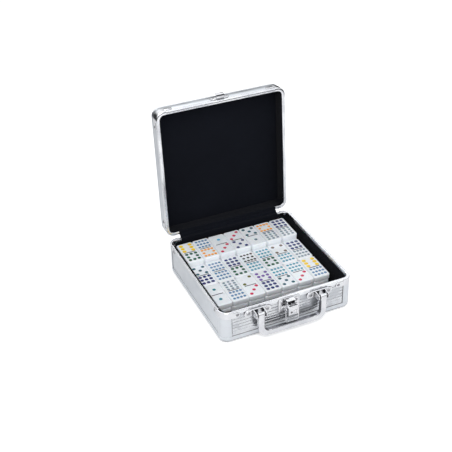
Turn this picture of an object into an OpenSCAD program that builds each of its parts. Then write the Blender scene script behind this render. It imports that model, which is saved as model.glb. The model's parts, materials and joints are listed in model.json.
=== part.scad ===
// Domino storage box: an aluminium case with a hinged lid, a folding bail handle, a key latch
// and a double-twelve set of dominoes stacked inside.
// The origin is the centre of the base's bottom face. X runs to the right, Y to the hinges, Z up.
// The case stands open, as it does when the dominoes are taken out.

/* [Case] */
// Width of the case over its side walls
case_w = 197; // [190:1:230]
// Depth of the case over its front and back walls
case_d = 196; // [190:1:230]
// Height of the base from the table to its rim
base_h = 50.5; // [48:0.5:70]
// Height of the lid from its rim to its top
lid_h = 25; // [24:0.5:40]
// Outer radius of the upright corners
corner_r = 12; // [10:0.5:12]
// Radius of the long edges at the top and bottom
edge_r = 5; // [3:0.5:5]
// Angle at which the open lid stops
open_angle = 93.5; // [60:0.5:95]

/* [Walls] */
// Thickness of the aluminium skin
skin_t = 0.8; // [0.6:0.1:1]
// Thickness of the boards inside the walls
board_t = 2.9; // [2.5:0.1:3]
// Thickness of the black lining
lining_t = 0.5; // [0.4:0.1:0.6]
// Width of the rim along the mouth of the case
rim_w = 4.5; // [4.4:0.1:5]
// Height of the smooth band below the wall panels
band_h = 9.5; // [8:0.5:10]
// Length of smooth wall beside each corner, before a panel starts
post_w = 14; // [13:0.5:16]

/* [Dominoes] */
// Width of a domino
tile_w = 24.7; // [22:0.1:24.8]
// Length of a domino
tile_l = 49.3; // [44:0.1:49.4]
// Thickness of a domino
tile_t = 8.4; // [7:0.1:8.4]
// Radius of a domino's upright corners
tile_r = 3; // [2:0.5:4]
// Columns of dominoes across the case
tile_columns = 7; // [1:1:7]

/* [Handle] */
// Distance between the middles of the two handle brackets
handle_span = 93; // [80:1:100]
// Width of the bail, seen from the front
bail_w = 8.8; // [7:0.2:9.4]
// Thickness of the bail
bail_t = 6; // [5:0.2:6]
// Height of the bail's lower edge above the table
bail_low = 5.7; // [4:0.1:5.7]

/* [Hinges] */
// Distance between the middles of the two hinges
hinge_span = 104; // [90:1:120]
// Length of each hinge
hinge_l = 36; // [30:1:40]

/* [Hidden] */
$fn = 48;
half_w = case_w / 2;
half_d = case_d / 2;

// gaps
part_gap = 0.15;          // from the parting plane to each rim
bore_gap = 0.05;          // around every pin that turns
reveal = 0.6;             // dark line around a wall panel

// wall layers, measured inwards from the outer face
board_in = skin_t;
lining_in = skin_t + board_t;
lining_end = lining_in + lining_t;

// levels in the floor
sheet_t = 0.8;
floor_board_t = 2.4;
lining_z = sheet_t + floor_board_t;
pad_z = lining_z + lining_t;
pad_t = 1.2;
floor_z = pad_z + pad_t;

// rim
rim_t = 1;
rim_drop = 5;
cover_t = 0.4;            // black cloth over the hinge side
cover_rebate = 0.5;       // how far the back rim is lowered for the cloth

// corner caps
cap_t = 0.5;
cap_len = 15;
cap_ear = 22.5;           // from the corner to the rivet of an ear
cap_ear_r = 4;

// rivets
rivet_r = 1.2;
rivet_head_r = 2.3;
rivet_flat_h = 0.45;      // the head's straight edge
rivet_cone_h = 0.55;      // the head's slope above it
rivet_top_r = 1.3;        // flat top of the head
rivet_depth = 2.6;        // how far a rivet reaches into the wall
rivet_hole_l = 4;         // cutter through a plate that a rivet holds

// hinge line
hinge_y = half_d + 2.7;
hinge_z = base_h;
knuckle_r = 2.4;
hinge_pin_r = 1.2;
leaf_t = 1.2;
leaf_top = 2.7;           // from the hinge line to the leaf's near edge
leaf_h = 13;

// handle
bracket_z = 40.5;
bracket_pitch = 28.6;
bracket_plate_r = 5.6;
bracket_plate_t = 1;
bracket_lip_half = 13;    // half the length of the bracket's folded lip
bracket_lip_out = 3;
bracket_top = 47.1;
cheek_in = 6.6;
cheek_t = 1.2;
cheek_r = 3.1;            // round of a cheek about the pin
handle_pin_r = 1.3;
handle_pin_out = 11;      // from the wall to the handle's pin
handle_pin_z = 42.6;
bail_roll_r = 3;
bail_bend_r = 13;
bail_sheet_t = 1.2;       // sheet that the bail is pressed from

// latch
latch_plate_w = 32;
latch_plate_t = 1.1;
latch_plate_low = 26;
latch_plate_top = 49;
latch_cheek_in = 4.9;
latch_cheek_t = 1.1;
latch_hood_half = 6.4;
latch_hood_out = 8.5;
latch_hood_top = 48.2;
latch_cheek_back = 0.9;   // the cheeks stand back under the hood, clear of the raised lever
lever_out = 10.5;         // from the wall to the lever's pin
lever_z = 42;
lever_pin_r = 1.2;
lever_half_w = 7.5;
lever_front = 15;
lever_low = 28.5;
lever_side_t = 1.1;
lever_round_r = 2.4;      // round of the lever and its cheeks about the pin
loop_pivot_z = 37.5;
loop_pin_r = 0.9;
loop_half_w = 9.6;
loop_t = 1.6;
loop_low = 15.7;          // middle of the loop's end bar
loop_slot = 5.2;          // from the end bar to the cross bar
loop_eye_r = 2;
loop_stem_l = 3.6;        // how far a loop pin stands out beside the lever
loop_button_r = 1.4;
loop_button_t = 0.5;
lock_x = 3.2;
lock_z = 33.6;
lock_r = 2.9;
lock_slot_w = 1.4;
lock_slot_l = 4;
lock_shaft_r = 1.4;
blind_hole_r = 1.3;       // small hole in the lever beside the lock
tongue_out = 6;           // from the wall to the lock tongue's back
tongue_half_w = 2.2;
tongue_reach = 4.2;       // from the lock's axis to the tongue's tip
keeper_out = 8.2;         // from the wall to the front of the keeper's lip
keeper_half_h = 2.1;

// lid catch, as it sits on the closed lid
catch_w = 29;
catch_low = 55.2;
catch_top = 67;
catch_mid = (catch_low + catch_top) / 2;
catch_t = 1;
hook_half_w = 6;
hook_out = 8;
hook_lip_h = 5.2;
hook_seat = 5.1;          // from the wall to the middle of the loop's end bar when latched

// domino stack
pitch_x = 25;
pitch_y = 49.6;
tile_rows = 3;
stack_left = -half_w + rim_w + 2;
stack_front = -half_d + 33.8;
layer_t = tile_t + 0.05;
// How far each layer lies out of line, in X and Y: loose dominoes are never stacked straight
layer_shift = [[-0.5, 0.2], [-0.9, -0.2], [-1.3, 0.1], [0, 0], [0, 0]];

// every rivet as [x or y along the wall, height] on its wall
base_cap_rivet_z = base_h - part_gap - 6.3;
lid_cap_rivet_z = base_h + part_gap + 8.4;
bracket_xs = [-handle_span / 2, handle_span / 2];
bracket_rivet_xs = [for (x = bracket_xs, s = [-1, 1]) x + s * bracket_pitch / 2];
latch_rivet_xs = [-10.5, 10.5];
latch_rivet_zs = [30, 42];
catch_rivet_xs = [-11, 11];
hinge_xs = [-hinge_span / 2, hinge_span / 2];
hinge_rivet_xs = [for (x = hinge_xs, s = [-11, 11]) x + s];
hinge_rivet_z = 10.5;     // from the hinge line, down on the base and up on the lid

// ---- helpers ----

// Puts the children on the lid: they are drawn as on the closed case, then turned open
module on_open_lid() {
  translate([0, hinge_y, hinge_z])
    rotate([-open_angle, 0, 0])
      translate([0, -hinge_y, -hinge_z])
        children();
}

// Turns a shape drawn upwards from a bottom face into one hanging down from the lid's top
module from_lid_top() {
  translate([0, 0, base_h + lid_h]) mirror([0, 0, 1]) children();
}

// Puts the children on the front wall, with local Y pointing out of it
module on_front() {
  translate([0, -half_d, 0]) mirror([0, 1, 0]) children();
}

// A straight run of a wall section. The section's X is the depth from the outer face
module straight_run(half, len) {
  rotate([90, 0, 0])
    linear_extrude(len, center = true)
      translate([half, 0]) mirror([1, 0, 0]) children();
}

// Four straight runs, one along each wall, each ending short of the corners
module wall_runs(cut) {
  for (i = [0, 2]) rotate([0, 0, 90 * i]) straight_run(half_w, case_d - 2 * cut) children();
  for (i = [1, 3]) rotate([0, 0, 90 * i]) straight_run(half_d, case_w - 2 * cut) children();
}

// The same section turned round each of the four corners
module corner_runs() {
  for (i = [0, 1], j = [0, 1])
    mirror([i, 0, 0]) mirror([0, j, 0])
      translate([half_w - corner_r, half_d - corner_r, 0])
        rotate_extrude(angle = 90)
          translate([corner_r, 0]) mirror([1, 0, 0]) children();
}

// Short straight pieces that carry a corner's section a little way along both walls
module corner_arms(from, to) {
  len = to - from;
  mid = (from + to) / 2;
  for (i = [0, 1], j = [0, 1])
    mirror([i, 0, 0]) mirror([0, j, 0]) {
      translate([0, half_d - mid, 0]) straight_run(half_w, len) children();
      translate([half_w - mid, 0, 0]) rotate([0, 0, 90]) straight_run(half_d, len) children();
    }
}

// A rounded rectangle of the case's plan, drawn in by an amount
module plan(in) {
  r = max(corner_r - in, 1);
  x = half_w - in - r;
  y = half_d - in - r;
  square([2 * x, 2 * (y + r)], center = true);
  square([2 * (x + r), 2 * y], center = true);
  for (i = [-1, 1], j = [-1, 1]) translate([i * x, j * y]) circle(r);
}

// A block of wall section from depth a to depth b and from height low to height high
module section(a, b, low, high) {
  translate([a, low]) square([b - a, high - low]);
}

// The places of a wall's rivets. Each child is drawn with local Z pointing out of the wall
module front_sites(xs, z) {
  for (x = xs) translate([x, -half_d, z]) rotate([90, 0, 0]) children();
}
module back_sites(xs, z) {
  for (x = xs) translate([x, half_d, z]) rotate([-90, 0, 0]) children();
}
module side_sites(ys, z) {
  for (y = ys) {
    translate([half_w, y, z]) rotate([0, 90, 0]) children();
    translate([-half_w, y, z]) rotate([0, -90, 0]) children();
  }
}
module cap_sites(z) {
  xs = [-half_w + cap_ear, half_w - cap_ear];
  front_sites(xs, z) children();
  back_sites(xs, z) children();
  side_sites([-half_d + cap_ear, half_d - cap_ear], z) children();
}

// A rivet whose head sits on a plate that stands out from the wall by the given amount
module rivet(out) {
  translate([0, 0, -rivet_depth]) cylinder(r = rivet_r, h = rivet_depth + out);
  translate([0, 0, out]) cylinder(r = rivet_head_r, h = rivet_flat_h);
  translate([0, 0, out + rivet_flat_h]) cylinder(r1 = rivet_head_r, r2 = rivet_top_r, h = rivet_cone_h);
}
// The hole that a rivet fills in everything it passes through
module rivet_hole() {
  translate([0, 0, -rivet_depth]) cylinder(r = rivet_r, h = rivet_depth + rivet_hole_l);
}

// A rivet's hole in a plate, for parts drawn on the front wall with local Y pointing out of it
module plate_hole(x, z) {
  translate([x, -1, z]) rotate([-90, 0, 0]) cylinder(r = rivet_r, h = rivet_hole_l);
}

// Every rivet hole in the base's walls, and in the lid's
module base_holes() {
  cap_sites(base_cap_rivet_z) rivet_hole();
  front_sites(bracket_rivet_xs, bracket_z) rivet_hole();
  for (z = latch_rivet_zs) front_sites(latch_rivet_xs, z) rivet_hole();
  back_sites(hinge_rivet_xs, hinge_z - hinge_rivet_z) rivet_hole();
}
module lid_holes() {
  cap_sites(lid_cap_rivet_z) rivet_hole();
  front_sites(catch_rivet_xs, catch_mid) rivet_hole();
  back_sites(hinge_rivet_xs, hinge_z + hinge_rivet_z) rivet_hole();
}

// ---- wall sections ----

// Smooth band at the foot of the walls: a rounded edge, a lip under the floor and a ledge for the boards
module band_section(high) {
  inner = edge_r - skin_t;
  difference() {
    union() {
      section(0, edge_r, edge_r, high);
      intersection() {
        translate([edge_r, edge_r]) circle(edge_r);
        square([edge_r, edge_r]);
      }
    }
    translate([edge_r, edge_r]) circle(inner);
    section(skin_t, edge_r + 1, edge_r, high + 1);
  }
  section(edge_r, edge_r + 3, 0, skin_t);
  section(skin_t / 2, lining_in, floor_z - skin_t, floor_z);
}

// Channel of the rim, closed at the top
module rim_section(top) {
  section(0, rim_w, top - rim_t, top);
  section(0, skin_t, top - rim_drop, top);
  section(lining_in, rim_w, top - rim_drop + 0.6, top);
}

// Corner cap over the rim
module cap_section(top, drop) {
  section(-cap_t, rim_w + 0.3, top - rim_t, top);
  section(-cap_t, 0, top - drop, top);
  section(lining_end + 0.02, rim_w + 0.3, top - rim_drop, top);
}

// ---- parts that the base and the lid share, for a tray of height h ----

module wall_boards(h) {
  wall_runs(corner_r) section(board_in, lining_in, floor_z, h - part_gap - rim_t);
}
module corner_blocks(h) {
  corner_runs() section(board_in, lining_in, floor_z, h - part_gap - rim_t);
}
module lining(h) {
  difference() {
    translate([0, 0, lining_z]) linear_extrude(h - part_gap - rim_drop - lining_z) plan(lining_in);
    translate([0, 0, pad_z]) linear_extrude(h) plan(lining_end);
  }
}

// The rim's four lengths. The back one is lower between the caps, where the cloth lies on it
module rim(h) {
  difference() {
    wall_runs(cap_len) rim_section(h - part_gap);
    translate([-half_w + cap_len - 1, half_d - rim_w - 1, h - part_gap - cover_rebate])
      cube([case_w - 2 * cap_len + 2, rim_w + 2, 5]);
  }
}

// Four corner caps with a riveted ear along each wall
module corner_caps(h, ear_z) {
  top = h - part_gap;
  drop = top - ear_z + cap_ear_r;
  corner_runs() cap_section(top, drop);
  corner_arms(corner_r, cap_len) cap_section(top, drop);
  for (i = [0, 1], j = [0, 1])
    mirror([i, 0, 0]) mirror([0, j, 0]) {
      translate([half_w, half_d - cap_ear, 0]) rotate([90, 0, 90]) cap_ear_plate(ear_z);
      translate([half_w - cap_ear, half_d + cap_t, 0]) rotate([90, 0, 0]) cap_ear_plate(ear_z);
    }
}
// Ear of a corner cap, drawn flat, with its free end round its rivet
module cap_ear_plate(ear_z) {
  linear_extrude(cap_t) difference() {
    union() {
      translate([0, ear_z]) circle(cap_ear_r);
      translate([0, ear_z - cap_ear_r]) square([cap_ear - cap_len + 0.5, 2 * cap_ear_r]);
    }
    translate([0, ear_z]) circle(rivet_r);
  }
}

// A ribbed panel that fills the front or back wall between the corner skins
rib_pitch = 4.9;
rib_r = 6.5;
rib_h = 0.4;
module ribbed_section(low, high) {
  back = board_in;
  face = board_in - 0.3;
  section(face, back, low, high);
  ribs = floor((high - low - 1) / rib_pitch);
  start = low + (high - low - ribs * rib_pitch) / 2;
  for (k = [0 : ribs - 1])
    intersection() {
      translate([face - rib_h + rib_r, start + (k + 0.5) * rib_pitch]) circle(rib_r);
      section(face - rib_h, face + 0.1, low, high);
    }
}
module panel_run(half, len) {
  straight_run(half, len - 2 * (post_w + reveal)) children();
}

// ---- base ----

panel_low = band_h + reveal;
panel_high = base_h - part_gap - rim_drop;

module base_bottom_sheet() {
  color("silver") linear_extrude(sheet_t) plan(edge_r + 3);
}
module base_floor_board() {
  color("burlywood") translate([0, 0, sheet_t]) linear_extrude(floor_board_t) plan(edge_r + 0.2);
}
module base_bottom_band() {
  color("gainsboro") {
    wall_runs(corner_r) band_section(band_h);
    corner_runs() band_section(band_h);
  }
}
module base_wall_boards() {
  color("burlywood") difference() {
    wall_boards(base_h);
    base_holes();
  }
}
module base_corner_blocks() {
  color("burlywood") corner_blocks(base_h);
}
module base_corner_skins() {
  color("gainsboro") {
    corner_runs() section(0, skin_t, band_h, base_h - part_gap - rim_t);
    corner_arms(corner_r, post_w) section(0, skin_t, band_h, base_h - part_gap - rim_drop);
  }
}
module base_front_panel() {
  color("gainsboro") difference() {
    rotate([0, 0, -90]) panel_run(half_d, case_w) ribbed_section(panel_low, panel_high);
    base_holes();
  }
}
module base_back_panel() {
  color("gainsboro") difference() {
    rotate([0, 0, 90]) panel_run(half_d, case_w) ribbed_section(panel_low, panel_high);
    base_holes();
  }
}
module base_side_panels() {
  color("gainsboro") difference() {
    for (i = [0, 2])
      rotate([0, 0, 90 * i]) panel_run(half_w, case_d) section(0.3, board_in, panel_low, panel_high);
    base_holes();
  }
}
module base_rim() {
  color("silver") rim(base_h);
}
module base_lining() {
  color([0.07, 0.08, 0.1]) lining(base_h);
}
module base_floor_pad() {
  color([0.06, 0.06, 0.08]) translate([0, 0, pad_z]) linear_extrude(pad_t - 0.05) plan(lining_end + 0.3);
}
module base_corner_caps() {
  color("lightgray") corner_caps(base_h, base_cap_rivet_z);
}
module base_cap_rivets() {
  color("gray") cap_sites(base_cap_rivet_z) rivet(cap_t);
}

// ---- lid, drawn closed ----

module lid_top_sheet() {
  color("gainsboro") on_open_lid() from_lid_top() linear_extrude(sheet_t) plan(edge_r + 3);
}
module lid_top_board() {
  color("burlywood") on_open_lid() from_lid_top()
    translate([0, 0, sheet_t]) linear_extrude(floor_board_t) plan(edge_r + 0.2);
}
module lid_edge_band() {
  high = lid_h - part_gap - rim_drop;
  color("gainsboro") on_open_lid() difference() {
    from_lid_top() {
      wall_runs(corner_r) band_section(high);
      corner_runs() band_section(high);
      corner_runs() section(0, skin_t, high - 0.5, lid_h - part_gap - rim_t);
    }
    lid_holes();
  }
}
module lid_wall_boards() {
  color("burlywood") on_open_lid() difference() {
    from_lid_top() wall_boards(lid_h);
    lid_holes();
  }
}
module lid_corner_blocks() {
  color("burlywood") on_open_lid() from_lid_top() corner_blocks(lid_h);
}
module lid_rim() {
  color("silver") on_open_lid() from_lid_top() rim(lid_h);
}
module lid_lining() {
  color([0.07, 0.08, 0.1]) on_open_lid() from_lid_top() lining(lid_h);
}
module lid_corner_caps() {
  color("lightgray") on_open_lid() from_lid_top() corner_caps(lid_h, base_h + lid_h - lid_cap_rivet_z);
}
module lid_cap_rivets() {
  color("gray") on_open_lid() cap_sites(lid_cap_rivet_z) rivet(cap_t);
}

// Catch plate with a hook that opens upwards
module lid_catch() {
  end_r = (catch_top - catch_low) / 2;
  bar_gap = loop_t / 2 + 0.5;
  color("lightgray") on_open_lid() on_front() {
    difference() {
      union() {
        for (s = [-1, 1])
          translate([s * (catch_w / 2 - end_r), 0, catch_mid])
            rotate([-90, 0, 0]) cylinder(r = end_r, h = catch_t);
        translate([-catch_w / 2 + end_r, 0, catch_low])
          cube([catch_w - 2 * end_r, catch_t, catch_top - catch_low]);
      }
      for (x = catch_rivet_xs) plate_hole(x, catch_mid);
    }
    translate([-hook_half_w, 0, catch_low])
      cube([2 * hook_half_w, hook_out - 1, loop_clear_z() - bar_gap - catch_low]);
    translate([-hook_half_w, hook_seat + bar_gap, catch_low])
      cube([2 * hook_half_w, hook_out - hook_seat - bar_gap, hook_lip_h]);
  }
}
// Height of the loop's end bar when the latch is done up
function loop_clear_z() =
  loop_pivot_z + sqrt(pow(loop_pivot_z - loop_low, 2) - pow(lever_out - hook_seat, 2));

module lid_catch_rivets() {
  color("gray") on_open_lid() front_sites(catch_rivet_xs, catch_mid) rivet(catch_t);
}

// ---- hinges ----

// Knuckles along the hinge line, in the given ones of five equal lengths
module knuckles(which) {
  step = hinge_l / 5;
  for (x = hinge_xs, k = which)
    translate([x - hinge_l / 2 + k * step + 0.1, hinge_y, hinge_z]) rotate([0, 90, 0])
      cylinder(r = knuckle_r, h = step - 0.2);
}
// The bore through all the knuckles
module knuckle_bore() {
  for (x = hinge_xs)
    translate([x - hinge_l / 2 - 1, hinge_y, hinge_z]) rotate([0, 90, 0])
      cylinder(r = hinge_pin_r + bore_gap, h = hinge_l + 2);
}
// A leaf below the hinge line, with tongues that reach the knuckles in the given lengths
module leaf(which) {
  step = hinge_l / 5;
  for (x = hinge_xs) {
    translate([x - hinge_l / 2, half_d, hinge_z - leaf_top - leaf_h]) cube([hinge_l, leaf_t, leaf_h]);
    for (k = which)
      translate([x - hinge_l / 2 + k * step + 0.1, half_d, hinge_z - leaf_top - 0.5])
        cube([step - 0.2, leaf_t, leaf_top + 0.5]);
  }
}
// Lugs on the base leaf that the lid leaf comes down on when the lid is fully open
module stop_lugs() {
  lug_t = 4;
  reach = [knuckle_r + 0.5, knuckle_r + 3.2];
  lift = [for (y = reach) (hinge_y - half_d - leaf_t + y * cos(open_angle)) / sin(open_angle)];
  for (x = hinge_xs, s = [-1, 1])
    translate([x + s * (hinge_l / 2 - lug_t / 2), hinge_y, hinge_z])
      rotate([90, 0, 90]) translate([0, 0, -lug_t / 2]) linear_extrude(lug_t)
        polygon([
          [leaf_t - hinge_y + half_d - 0.1, -leaf_top - 10],
          [leaf_t - hinge_y + half_d - 0.1, -leaf_top - 1],
          [reach[0], -knuckle_r - 0.4],
          [reach[0], lift[0] - 0.12],
          [reach[1], lift[1] - 0.12],
          [reach[1], -knuckle_r - 2]
        ]);
}
module hinge_leaves_base() {
  color("silver") difference() {
    union() {
      leaf([0, 2, 4]);
      knuckles([0, 2, 4]);
      stop_lugs();
    }
    knuckle_bore();
    back_sites(hinge_rivet_xs, hinge_z - hinge_rivet_z) rivet_hole();
  }
}
module hinge_leaves_lid() {
  color("silver") on_open_lid() difference() {
    union() {
      translate([0, 0, 2 * hinge_z]) mirror([0, 0, 1]) leaf([1, 3]);
      knuckles([1, 3]);
    }
    knuckle_bore();
    back_sites(hinge_rivet_xs, hinge_z + hinge_rivet_z) rivet_hole();
  }
}
module hinge_pins() {
  color("gray") for (x = hinge_xs)
    translate([x - hinge_l / 2, hinge_y, hinge_z]) rotate([0, 90, 0]) cylinder(r = hinge_pin_r, h = hinge_l);
}
module hinge_rivets_base() {
  color("gray") back_sites(hinge_rivet_xs, hinge_z - hinge_rivet_z) rivet(leaf_t);
}
module hinge_rivets_lid() {
  color("gray") on_open_lid() back_sites(hinge_rivet_xs, hinge_z + hinge_rivet_z) rivet(leaf_t);
}

// Half of the black cloth over the hinge side: it lies on the rim and turns down inside the wall
module cover_half(h) {
  top = h - part_gap - cover_rebate + 0.02;
  len = case_w - 2 * cap_len - 4;
  rotate([0, 0, 90]) straight_run(half_d, len) {
    section(0.4, rim_w + 0.6, top, top + cover_t - 0.05);
    section(rim_w + 0.02, rim_w + 0.6, top - 9, top + cover_t - 0.05);
  }
}
module hinge_cover_base() {
  color([0.07, 0.08, 0.1]) cover_half(base_h);
}
module hinge_cover_lid() {
  color([0.07, 0.08, 0.1]) on_open_lid() from_lid_top() cover_half(lid_h);
}

// ---- handle ----

// Bracket drawn on the wall: a riveted plate with a folded lip along its top and two cheeks
module bracket() {
  plate_half = bracket_pitch / 2;
  difference() {
    union() {
      for (s = [-1, 1])
        translate([s * plate_half, 0, bracket_z])
          rotate([-90, 0, 0]) cylinder(r = bracket_plate_r, h = bracket_plate_t);
      translate([-plate_half, 0, bracket_z - bracket_plate_r])
        cube([2 * plate_half, bracket_plate_t, 2 * bracket_plate_r]);
      translate([-bracket_lip_half, 0, bracket_z])
        cube([2 * bracket_lip_half, bracket_plate_t, bracket_top - bracket_z]);
      translate([-bracket_lip_half, 0, bracket_top - bracket_plate_t])
        cube([2 * bracket_lip_half, bracket_lip_out, bracket_plate_t]);
      for (s = [-1, 1]) translate([s * (cheek_in + cheek_t / 2), 0, 0]) bracket_cheek();
    }
    for (s = [-1, 1]) plate_hole(s * plate_half, bracket_z);
    translate([-20, handle_pin_out, handle_pin_z])
      rotate([0, 90, 0]) cylinder(r = handle_pin_r + bore_gap, h = 40);
  }
}
// Side of a bracket, in the plane across the wall, round in front of the pin
module bracket_cheek() {
  rotate([90, 0, 90]) linear_extrude(cheek_t, center = true) {
    polygon([
      [0, bracket_z - 5],
      [0, bracket_top - 0.5],
      [bracket_lip_out, bracket_top - 0.5],
      [handle_pin_out, handle_pin_z + cheek_r],
      [handle_pin_out + cheek_r, handle_pin_z],
      [handle_pin_out + 2.2, handle_pin_z - 4],
      [handle_pin_out + 0.6, handle_pin_z - 5.2]
    ]);
    translate([handle_pin_out, handle_pin_z]) circle(cheek_r);
  }
}
module handle_bracket_left() {
  color("lightgray") on_front() translate([bracket_xs[0], 0, 0]) bracket();
}
module handle_bracket_right() {
  color("lightgray") on_front() translate([bracket_xs[1], 0, 0]) bracket();
}
module handle_bracket_rivets() {
  color("gray") front_sites(bracket_rivet_xs, bracket_z) rivet(bracket_plate_t);
}
module handle_pins() {
  len = 2 * (cheek_in + cheek_t) + 1.2;
  color("gray") on_front() for (x = bracket_xs)
    translate([x - len / 2, handle_pin_out, handle_pin_z])
      rotate([0, 90, 0]) cylinder(r = handle_pin_r, h = len);
}

// Outline of the bail from the front, drawn in by an amount: two arms, round bends and a straight grip
module bail_outline(in) {
  outer = handle_span / 2 + bail_w / 2 - in;
  inner = handle_span / 2 - bail_w / 2 + in;
  low = bail_low + in;
  bend = bail_bend_r - in;
  in_bend = bail_bend_r - bail_w + 3 + in;
  grip_top = bail_low + bail_w - in;
  difference() {
    union() {
      translate([-outer, low + bend]) square([2 * outer, handle_pin_z - low - bend]);
      translate([-outer + bend, low]) square([2 * (outer - bend), bend + 1]);
      for (s = [-1, 1]) translate([s * (outer - bend), low + bend]) circle(bend);
    }
    translate([-inner, grip_top + in_bend]) square([2 * inner, 60]);
    translate([-inner + in_bend, grip_top]) square([2 * (inner - in_bend), 60]);
    for (s = [-1, 1]) translate([s * (inner - in_bend), grip_top + in_bend]) circle(in_bend);
  }
}
// U-shaped bail: a channel open towards the case, with rolls round the pins at its ends
module handle_bail() {
  front = handle_pin_out + bail_t / 2;
  color("whitesmoke") on_front() difference() {
    union() {
      difference() {
        translate([0, front, 0]) rotate([90, 0, 0]) linear_extrude(bail_t) bail_outline(0);
        translate([0, front - bail_sheet_t, 0])
          rotate([90, 0, 0]) linear_extrude(bail_t) bail_outline(bail_sheet_t);
      }
      for (x = bracket_xs)
        translate([x - bail_w / 2, handle_pin_out, handle_pin_z])
          rotate([0, 90, 0]) cylinder(r = bail_roll_r, h = bail_w);
    }
    for (x = bracket_xs)
      translate([x - bail_w, handle_pin_out, handle_pin_z]) rotate([0, 90, 0])
        cylinder(r = handle_pin_r + bore_gap, h = 2 * bail_w);
  }
}

// ---- latch ----

// Riveted plate with two cheeks that carry the lever's pin
module latch_plate() {
  high = latch_plate_top - latch_plate_low;
  r = 2.5;
  color("lightgray") on_front() difference() {
    union() {
      translate([-latch_plate_w / 2 + r, 0, latch_plate_low])
        cube([latch_plate_w - 2 * r, latch_plate_t, high]);
      translate([-latch_plate_w / 2, 0, latch_plate_low + r])
        cube([latch_plate_w, latch_plate_t, high - 2 * r]);
      for (s = [-1, 1], z = [latch_plate_low + r, latch_plate_top - r])
        translate([s * (latch_plate_w / 2 - r), 0, z])
          rotate([-90, 0, 0]) cylinder(r = r, h = latch_plate_t);
      for (s = [-1, 1])
        translate([s * (latch_cheek_in + latch_cheek_t / 2), 0, 0]) latch_cheek();
      translate([-latch_hood_half, 0, latch_hood_top - 1]) cube([2 * latch_hood_half, latch_hood_out, 1]);
      lock_keeper();
    }
    for (x = latch_rivet_xs, z = latch_rivet_zs) plate_hole(x, z);
    translate([-10, lever_out, lever_z]) rotate([0, 90, 0]) cylinder(r = lever_pin_r + bore_gap, h = 20);
  }
}
// Keeper on the latch plate. Its lip stands in front of the lock's tongue when the lock is turned
module lock_keeper() {
  web_x = lock_x - 5.7;
  translate([web_x, 0, lock_z - keeper_half_h]) cube([0.6, keeper_out, 2 * keeper_half_h]);
  translate([web_x, keeper_out - 1, lock_z - keeper_half_h]) cube([2.7, 1, 2 * keeper_half_h]);
}
module latch_cheek() {
  rotate([90, 0, 90]) linear_extrude(latch_cheek_t, center = true) {
    polygon([
      [0, 36.5],
      [0, latch_hood_top - 0.5],
      [latch_hood_out - latch_cheek_back, latch_hood_top - 0.5],
      [latch_hood_out - latch_cheek_back, lever_z + 1.6],
      [lever_out - 0.8, lever_z + 2.1],
      [lever_out + 2.1, lever_z + 1],
      [lever_out + 1.7, lever_z - 1.7],
      [lever_out - 1.5, 37]
    ]);
    translate([lever_out, lever_z]) circle(lever_round_r);
  }
}
module latch_rivets() {
  color("gray") for (z = latch_rivet_zs) front_sites(latch_rivet_xs, z) rivet(latch_plate_t);
}
module latch_pin() {
  len = 2 * lever_half_w;
  color("gray") on_front()
    translate([-len / 2, lever_out, lever_z]) rotate([0, 90, 0]) cylinder(r = lever_pin_r, h = len);
}

// Lever: a folded cover with two side flanges, open towards the wall
module latch_lever() {
  color("whitesmoke") on_front() difference() {
    union() {
      for (s = [-1, 1])
        translate([s * (lever_half_w - lever_side_t / 2), 0, 0])
          rotate([90, 0, 90]) linear_extrude(lever_side_t, center = true) lever_side();
      translate([-lever_half_w, 0, 0]) rotate([90, 0, 90]) linear_extrude(2 * lever_half_w)
        polygon([
          [lever_front - 1.5, lever_z + 0.8],
          [lever_front - 0.6, lever_z + 0.3],
          [lever_front, lever_z - 1],
          [lever_front, lever_low + 1],
          [lever_front - 1, lever_low],
          [lever_front - 6.5, lever_low],
          [lever_front - 6.5, lever_low + 1.2],
          [lever_front - 1.6, lever_low + 1.2]
        ]);
    }
    translate([-10, lever_out, lever_z]) rotate([0, 90, 0]) cylinder(r = lever_pin_r + bore_gap, h = 20);
    for (s = [-1, 1])
      translate([s * (lever_half_w + 1), lever_out, loop_pivot_z]) rotate([0, -90 * s, 0])
        cylinder(r = loop_pin_r + bore_gap, h = 4);
    translate([lock_x, 0, lock_z]) rotate([-90, 0, 0]) cylinder(r = lock_r + bore_gap, h = 30);
    translate([-lock_x, lever_front - 3, lock_z]) rotate([-90, 0, 0]) cylinder(r = blind_hole_r, h = 5);
  }
}
module lever_side() {
  polygon([
    [lever_out - 2.4, lever_low + 3.5],
    [lever_out - 2.4, lever_z],
    [lever_out, lever_z + 2.4],
    [lever_front - 1.5, lever_z + 0.8],
    [lever_front - 0.6, lever_z + 0.3],
    [lever_front, lever_z - 1],
    [lever_front, lever_low + 1],
    [lever_front - 1, lever_low],
    [lever_out - 0.5, lever_low]
  ]);
  translate([lever_out, lever_z]) circle(lever_round_r);
}

// Two short pins, one on each side of the lever, that the loop swings on
module loop_pivot_pins() {
  color("gray") on_front() for (s = [-1, 1])
    translate([s * (lever_half_w - lever_side_t), lever_out, loop_pivot_z]) rotate([0, 90 * s, 0]) {
      cylinder(r = loop_pin_r, h = lever_side_t + loop_stem_l);
      translate([0, 0, lever_side_t + loop_stem_l - loop_button_t])
        cylinder(r = loop_button_r, h = loop_button_t);
    }
}

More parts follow.
